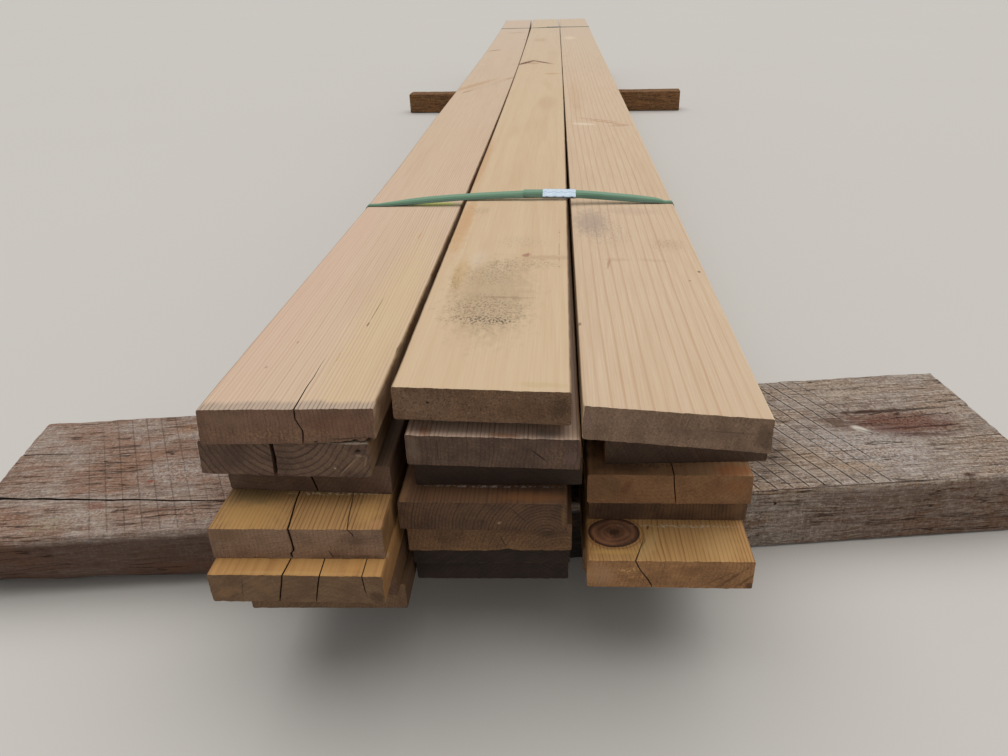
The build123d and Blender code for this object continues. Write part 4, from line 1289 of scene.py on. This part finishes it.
def bearer_material(name):
    """Silvered, furrowed wood: short lengthwise streaks and flecks, dark fissures, and saw lines on the front one."""
    bearers = bpy.context.scene.lumber_bearers
    front = name == "front"
    net = Net("bearer_" + name)
    place, x, y, z = net.place()
    cut, split = net.flag("cut"), net.flag("split")
    moved = place + ((11.0, 5.0, 3.0) if front else (71.0, 35.0, 13.0))
    streak = net.noise(moved, (2.6, 26, 2.6), 4.0, 0.7)
    grain = net.noise(moved, (6, 110, 6), 3.0, 0.6, distortion=0.3)
    patch = net.noise(moved, (55, 120, 55), 4.0, 0.62)
    speck = net.noise(moved, (3.0, 5.5, 3.0), 4.0, 0.78)
    scratch = net.noise(moved, (30, 3.5, 30), 2.0, 0.6)
    crack = abs(net.noise(moved, (13, 260, 13), 3.0, 0.6, distortion=0.3) - 0.5)
    fissure = net.step(crack, 0.02, 0.002) * net.step(patch, 0.44, 0.56)
    if front:
        silver, sound, pale, dark = tuple(bearers.silver), tuple(bearers.sound), tone(214, 204, 192), tone(70, 55, 47)
    else:
        silver, sound, pale, dark = tone(132, 96, 64), tone(150, 102, 62), tone(176, 136, 96), tone(78, 52, 34)
    base = net.layers(
        net.mix(net.step(grain, 0.28, 0.62), tone(116, 94, 78) if front else dark, silver),
        (patch, 0.44, 0.66, 0.55, sound),
        (streak, 0.5, 0.68, 0.65, pale), (streak, 0.46, 0.3, 0.75, dark),
        (speck, 0.53, 0.64, 0.6, pale), (speck, 0.48, 0.36, 0.85, dark),
        (scratch, 0.56, 0.7, 0.22, pale), (scratch, 0.42, 0.3, 0.28, dark),
    )
    height = streak * 0.8 + grain * 0.5 + speck * 0.9 + scratch * 0.25 - fissure * 1.6
    if front:
        left = net.step(y, 640.0, 380.0)
        base = net.mix(left * (net.step(patch, 0.36, 0.6) * 0.4 + 0.12), base, tone(138, 96, 76))
        turn = (y - x * KERF_SLOPE - KERF_SHIFT) / KERF_PITCH
        whole = net.call("ROUND", turn)
        line = abs(turn - whole)
        luck = net.white(whole)
        top = net.step(z, 46.0, 48.5) * net.step(x, 149.0, 143.0)
        kept = net.step(y, KERF_FIRST, KERF_FIRST + 60) * net.step(y + luck * 60, KERF_LAST + 40, KERF_LAST + 10)
        wear = net.step(speck + luck * 0.35, 0.42, 0.66)
        kerf = net.step(line, 0.075, 0.015) * kept * top * wear
        faint = net.step(line, 0.07, 0.02) * net.step(y, 60.0, 160.0) * net.step(y, 640.0, 520.0) * top * wear
        base = net.mix(faint * 0.45, base, tone(70, 54, 46))
        lip = net.step(abs(line - 0.12), 0.05, 0.01) * kept * top * wear
        base = net.mix(lip * 0.35, base, pale)
        base = net.mix(kerf * 0.8, base, tone(58, 44, 37))
        height = height - kerf * 1.8
        base = add_marks(net, base, place, x, y, z, BEARER_MARKS, 50.0)
        base = net.mix(net.step(speck, 0.45, 0.34) * net.step(patch, 0.52, 0.4) * 0.65, base, tone(172, 174, 182))
        face = net.step(z, 46.0, 34.0)
        base = net.mix(face * (left * 0.66 + 0.16), base, tone(80, 58, 47))
        base = net.mix(face * net.step(abs(y - STAIN_PLACE), 60.0, 24.0) * 0.95, base, tone(20, 16, 14))
        base = net.mix(face * net.step(patch, 0.5, 0.66) * 0.4, base, tone(110, 74, 50))
        # Painted shade: the bearer's sides darker towards its right end, where the next stack shades them.
        base = net.mix(net.step(z, 49.0, 40.0) * net.step(y, 1120.0, 1300.0) * 0.4, base, tone(96, 62, 40))
        for hole in NAIL_HOLES:
            far = mark_mask(net, x, y, z, hole[:3], hole[3:])
            base = net.mix(net.step(far + (speck - 0.5) * 0.8, 1.1, 0.7), base, tone(26, 20, 16))
    base = net.mix(fissure * 0.85, base, tone(46, 35, 29))
    ringed = net.call("SQRT", (x - 20) * (x - 20) + (z + 90) * (z + 90)) / 5.5
    ring = ringed - net.call("FLOOR", ringed)
    ends = net.mix(net.step(ring, 0.3, 0.9) * 0.5, tone(150, 130, 110), tone(96, 76, 60))
    ends = net.mix(net.step(speck, 0.5, 0.7) * 0.5, ends, tone(60, 46, 38))
    base = net.mix(cut, base, ends)
    # Painted shade on the walls of the splits.
    base = net.mix(split * 0.9, base, tone(40, 28, 22))
    return net.finish(base, 0.88 + (speck - 0.5) * 0.15, height, 0.75, 0.0025, Specular_IOR_Level=0.2)


def strap_material():
    """Green strapping with a pressed waffle and fine lengthwise scuffs, a painted highlight along its upper edge and
    painted shade along its lower edge and over its near half beyond the seal.
    """
    straps = bpy.context.scene.lumber_straps
    net = Net("strapping")
    place, x, y, _ = net.place()
    waffle = net.call("SINE", (x + y) * 2.6) * net.call("SINE", (x - y) * 2.6)
    scuff = net.noise(place, (0.7, 26, 0.7), 3.0, 0.6)
    dust = net.noise(place, (8, 40, 8), 2.0, 0.6)
    # The two rows on x are a painted highlight along the upper edge and painted shade along the lower edge.
    colour = net.layers(
        tuple(straps.green),
        (scuff, 0.5, 0.78, 0.4, tone(120, 168, 136)),
        (x, 1.0, 4.0, 0.45, tone(146, 186, 160)),
        (x, -1.5, -4.0, 0.8, tone(26, 66, 42)),
    )
    # Painted shade over the near half of the strap beyond the seal, where its twist turns it away from the light
    # overhead.
    shaded = net.step(x, 1.0, -2.0) * net.step(y, 395.0, 420.0) * net.step(y, 640.0, 590.0)
    colour = net.layers(
        net.mix(shaded * 0.6, colour, tone(40, 84, 56)),
        (dust, 0.5, 0.75, 0.18, tone(150, 160, 132)),
        (waffle, 0.1, 0.9, 0.14, tone(40, 84, 54)),
    )
    height = waffle * 0.5 + scuff * 0.4
    return net.finish(colour, 0.36 + dust * 0.2, height, 0.35, 0.0003, Specular_IOR_Level=0.5)


def seal_material():
    """Galvanised metal: soft spangle, rubbed bright and dull in streaks along its length."""
    straps = bpy.context.scene.lumber_straps
    net = Net("seal_metal")
    place, x, y, z = net.place()
    cells = {"Vector": place * (1 / 2.4, 1 / 3.2, 1 / 2.4), "Scale": 1.0}
    spangle = net.node("ShaderNodeTexVoronoi", {"feature": "F1"}, cells, "Color")
    grey = net.node("ShaderNodeSeparateColor", {}, {0: spangle})
    rub = net.noise(place, (2.0, 9, 2.0), 3.0, 0.6)
    colour = net.layers(
        net.mix(grey * 0.35, tuple(straps.zinc), tone(150, 158, 168)),
        (rub, 0.55, 0.75, 0.5, tone(238, 242, 246)),
        (rub, 0.4, 0.25, 0.4, tone(112, 116, 122)),
    )
    # Painted reflection: a wavy blue-grey band along the top of the seal that follows its lobes.
    wavy_reflection = abs(x - 1.2 - net.call("SINE", y * 0.42) * 1.1)
    colour = net.mix(net.step(wavy_reflection, 1.1, 0.3) * net.step(z, 0.5, 1.2) * 0.6, colour, tone(112, 132, 160))
    # Painted shade along the seal's lower near edge.
    colour = net.mix(net.step(x, -7.2, -9.4) * 0.5, colour, tone(84, 96, 112))
    return net.finish(colour, 0.3 + rub * 0.22, rub + grey * 0.2, 0.3, 0.0004, Metallic=0.9)


def dress(obj, nodes, material):
    """Gives a piece its material, hangs it under the root body and hides the solid it stands for."""
    obj.data.materials.append(material)
    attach(obj, "root")
    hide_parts(*nodes)


class LUMBER_OT_top_boards(Operator):
    """The three boards of the top course, crooked, checked and bowed."""

    bl_idname = "lumber.top_boards"
    bl_label = "Top boards"

    def execute(self, context):
        boards = context.scene.lumber_boards
        for name in ("left_1", "middle_1", "right_1"):
            dress(make_board(name, boards, 3.0, 45.0), ["board_" + name], wood_material(name))
        return {"FINISHED"}


class LUMBER_OT_under_boards(Operator):
    """The boards of the six courses below, their near ends staggered."""

    bl_idname = "lumber.under_boards"
    bl_label = "Boards below"

    def execute(self, context):
        boards = context.scene.lumber_boards
        for name in sorted(LAY):
            if not name.endswith("_1"):
                dress(make_board(name, boards, 3.6, 110.0), ["board_" + name], wood_material(name))
        return {"FINISHED"}


class LUMBER_OT_bearers(Operator):
    """The two rough bearers, weathered, split and worn."""

    bl_idname = "lumber.bearers"
    bl_label = "Bearers"

    def execute(self, context):
        bearers = context.scene.lumber_bearers
        for name, step, along_step in (("front", 3.8, 4.4), ("back", 5.0, 9.0)):
            obj = make_bearer(name, bearers, step, along_step)
            dress(obj, ["bearer_" + name], bearer_material(name))
        return {"FINISHED"}


class LUMBER_OT_straps(Operator):
    """The slack front strap and the tight back strap, each with its loose end."""

    bl_idname = "lumber.straps"
    bl_label = "Straps"

    def execute(self, context):
        green = strap_material()
        for name in STRAPS:
            for obj in make_strap(name, context.scene.lumber_boards, context.scene.lumber_straps):
                dress(obj, ["strap_" + name], green)
        return {"FINISHED"}


class LUMBER_OT_seals(Operator):
    """The crimped metal sleeves that hold the straps' ends."""

    bl_idname = "lumber.seals"
    bl_label = "Seals"

    def execute(self, context):
        metal = seal_material()
        for name in STRAPS:
            obj = make_seal(name, context.scene.lumber_boards, context.scene.lumber_straps)
            dress(obj, ["seal_" + name], metal)
        return {"FINISHED"}


class LUMBER_OT_stage(Operator):
    """The plain floor, the soft light and the camera."""

    bl_idname = "lumber.stage"
    bl_label = "Stage"

    def execute(self, context):
        stage = context.scene.lumber_stage
        scene = context.scene
        line = np.array([-FLOOR_HALF, -FLOOR_MIDDLE, FLOOR_MIDDLE, FLOOR_HALF])
        grid_x, grid_y = np.meshgrid(line, line, indexing="ij")
        points = np.stack([grid_x, grid_y, np.full_like(grid_x, -FLOOR_DROP)], axis=-1).reshape(-1, 3)
        floor = new_object("floor", points, sheet_quads(np.arange(16).reshape(4, 4), False))
        net = Net("floor_plain")
        coordinates = net.node("ShaderNodeTexCoord", {}, {}, "Object")
        drift = net.noise(coordinates * 0.8)
        colour = net.mix(drift * 0.12, tuple(stage.floor), (0.5, 0.48, 0.45))
        floor.data.materials.append(net.finish(colour, 0.9, Specular_IOR_Level=0.2))

        world = bpy.data.worlds.new("sky")
        scene.world = world
        world.use_nodes = True
        background = world.node_tree.nodes["Background"]
        background.inputs["Color"].default_value = (1.0, 0.99, 0.97, 1.0)
        background.inputs["Strength"].default_value = stage.sky
        nodes, links = world.node_tree.nodes, world.node_tree.links
        seen = nodes.new("ShaderNodeBackground")
        seen.inputs["Color"].default_value = (*tone(204, 200, 193), 1.0)
        path = nodes.new("ShaderNodeLightPath")
        both = nodes.new("ShaderNodeMixShader")
        links.new(path.outputs["Is Camera Ray"], both.inputs[0])
        links.new(background.outputs[0], both.inputs[1])
        links.new(seen.outputs[0], both.inputs[2])
        links.new(both.outputs[0], nodes["World Output"].inputs["Surface"])

        lamp = bpy.data.lights.new("overhead", "SUN")
        lamp.angle = math.radians(stage.spread)
        lamp.energy = stage.lamp
        lamp.color = (1.0, 0.985, 0.96)
        lamp_object = bpy.data.objects.new("overhead", lamp)
        lamp_object.location = (0.6, 2.2, 6.0)
        lamp_object.rotation_euler = (math.radians(-12), math.radians(4), 0)
        scene.collection.objects.link(lamp_object)

        yaw, pitch, roll = math.radians(CAMERA_YAW), math.radians(CAMERA_PITCH), math.radians(CAMERA_ROLL)
        forward = np.array([-math.sin(yaw) * math.cos(pitch), math.cos(yaw) * math.cos(pitch), -math.sin(pitch)])
        level = np.array([math.cos(yaw), math.sin(yaw), 0.0])
        down = np.cross(forward, level)
        right = math.cos(roll) * level + math.sin(roll) * down
        down = math.cos(roll) * down - math.sin(roll) * level
        camera = bpy.data.cameras.new("camera")
        camera.lens, camera.sensor_width = CAMERA_LENS, 36.0
        camera.sensor_fit = "HORIZONTAL"
        camera.clip_start, camera.clip_end = 0.05, 400.0
        camera_object = bpy.data.objects.new("camera", camera)
        columns_of = np.column_stack([right, -down, -forward])
        matrix = Matrix([list(row) + [0.0] for row in columns_of] + [[0, 0, 0, 1]])
        camera_object.matrix_world = Matrix.Translation(CAMERA_PLACE) @ matrix
        scene.collection.objects.link(camera_object)
        scene.camera = camera_object
        scene.view_settings.view_transform = "Standard"
        return {"FINISHED"}


class LUMBER_PT_panel(Panel):
    """Lists the steps and the settings in the sidebar."""

    bl_label = "Lumber stack"
    bl_space_type = "VIEW_3D"
    bl_region_type = "UI"
    bl_category = "Lumber"

    def draw(self, context):
        layout = self.layout
        for step in STEPS:
            layout.operator(step.bl_idname)
        for label in ("lumber_boards", "lumber_bearers", "lumber_straps", "lumber_stage"):
            settings = getattr(context.scene, label)
            box = layout.box()
            box.label(text=label.split("_")[1].capitalize())
            for key in settings.__annotations__:
                box.prop(settings, key)


STEPS = (
    LUMBER_OT_stage, LUMBER_OT_top_boards, LUMBER_OT_under_boards,
    LUMBER_OT_bearers, LUMBER_OT_straps, LUMBER_OT_seals,
)
GROUPS = {
    "lumber_boards": BoardSettings,
    "lumber_bearers": BearerSettings,
    "lumber_straps": StrapSettings,
    "lumber_stage": StageSettings,
}
CLASSES = (*GROUPS.values(), *STEPS, LUMBER_PT_panel)


def register():
    """Adds the operators, the panel and the settings to Blender."""
    for each in CLASSES:
        bpy.utils.register_class(each)
    for label, group in GROUPS.items():
        setattr(bpy.types.Scene, label, PointerProperty(type=group))


def unregister():
    """Takes them out again."""
    for label in GROUPS:
        delattr(bpy.types.Scene, label)
    for each in reversed(CLASSES):
        bpy.utils.unregister_class(each)


def main():
    """Builds the stage and every piece."""
    register()
    bpy.ops.lumber.stage()
    bpy.ops.lumber.top_boards()
    bpy.ops.lumber.under_boards()
    bpy.ops.lumber.bearers()
    bpy.ops.lumber.straps()
    bpy.ops.lumber.seals()


if __name__ == "__main__":
    main()
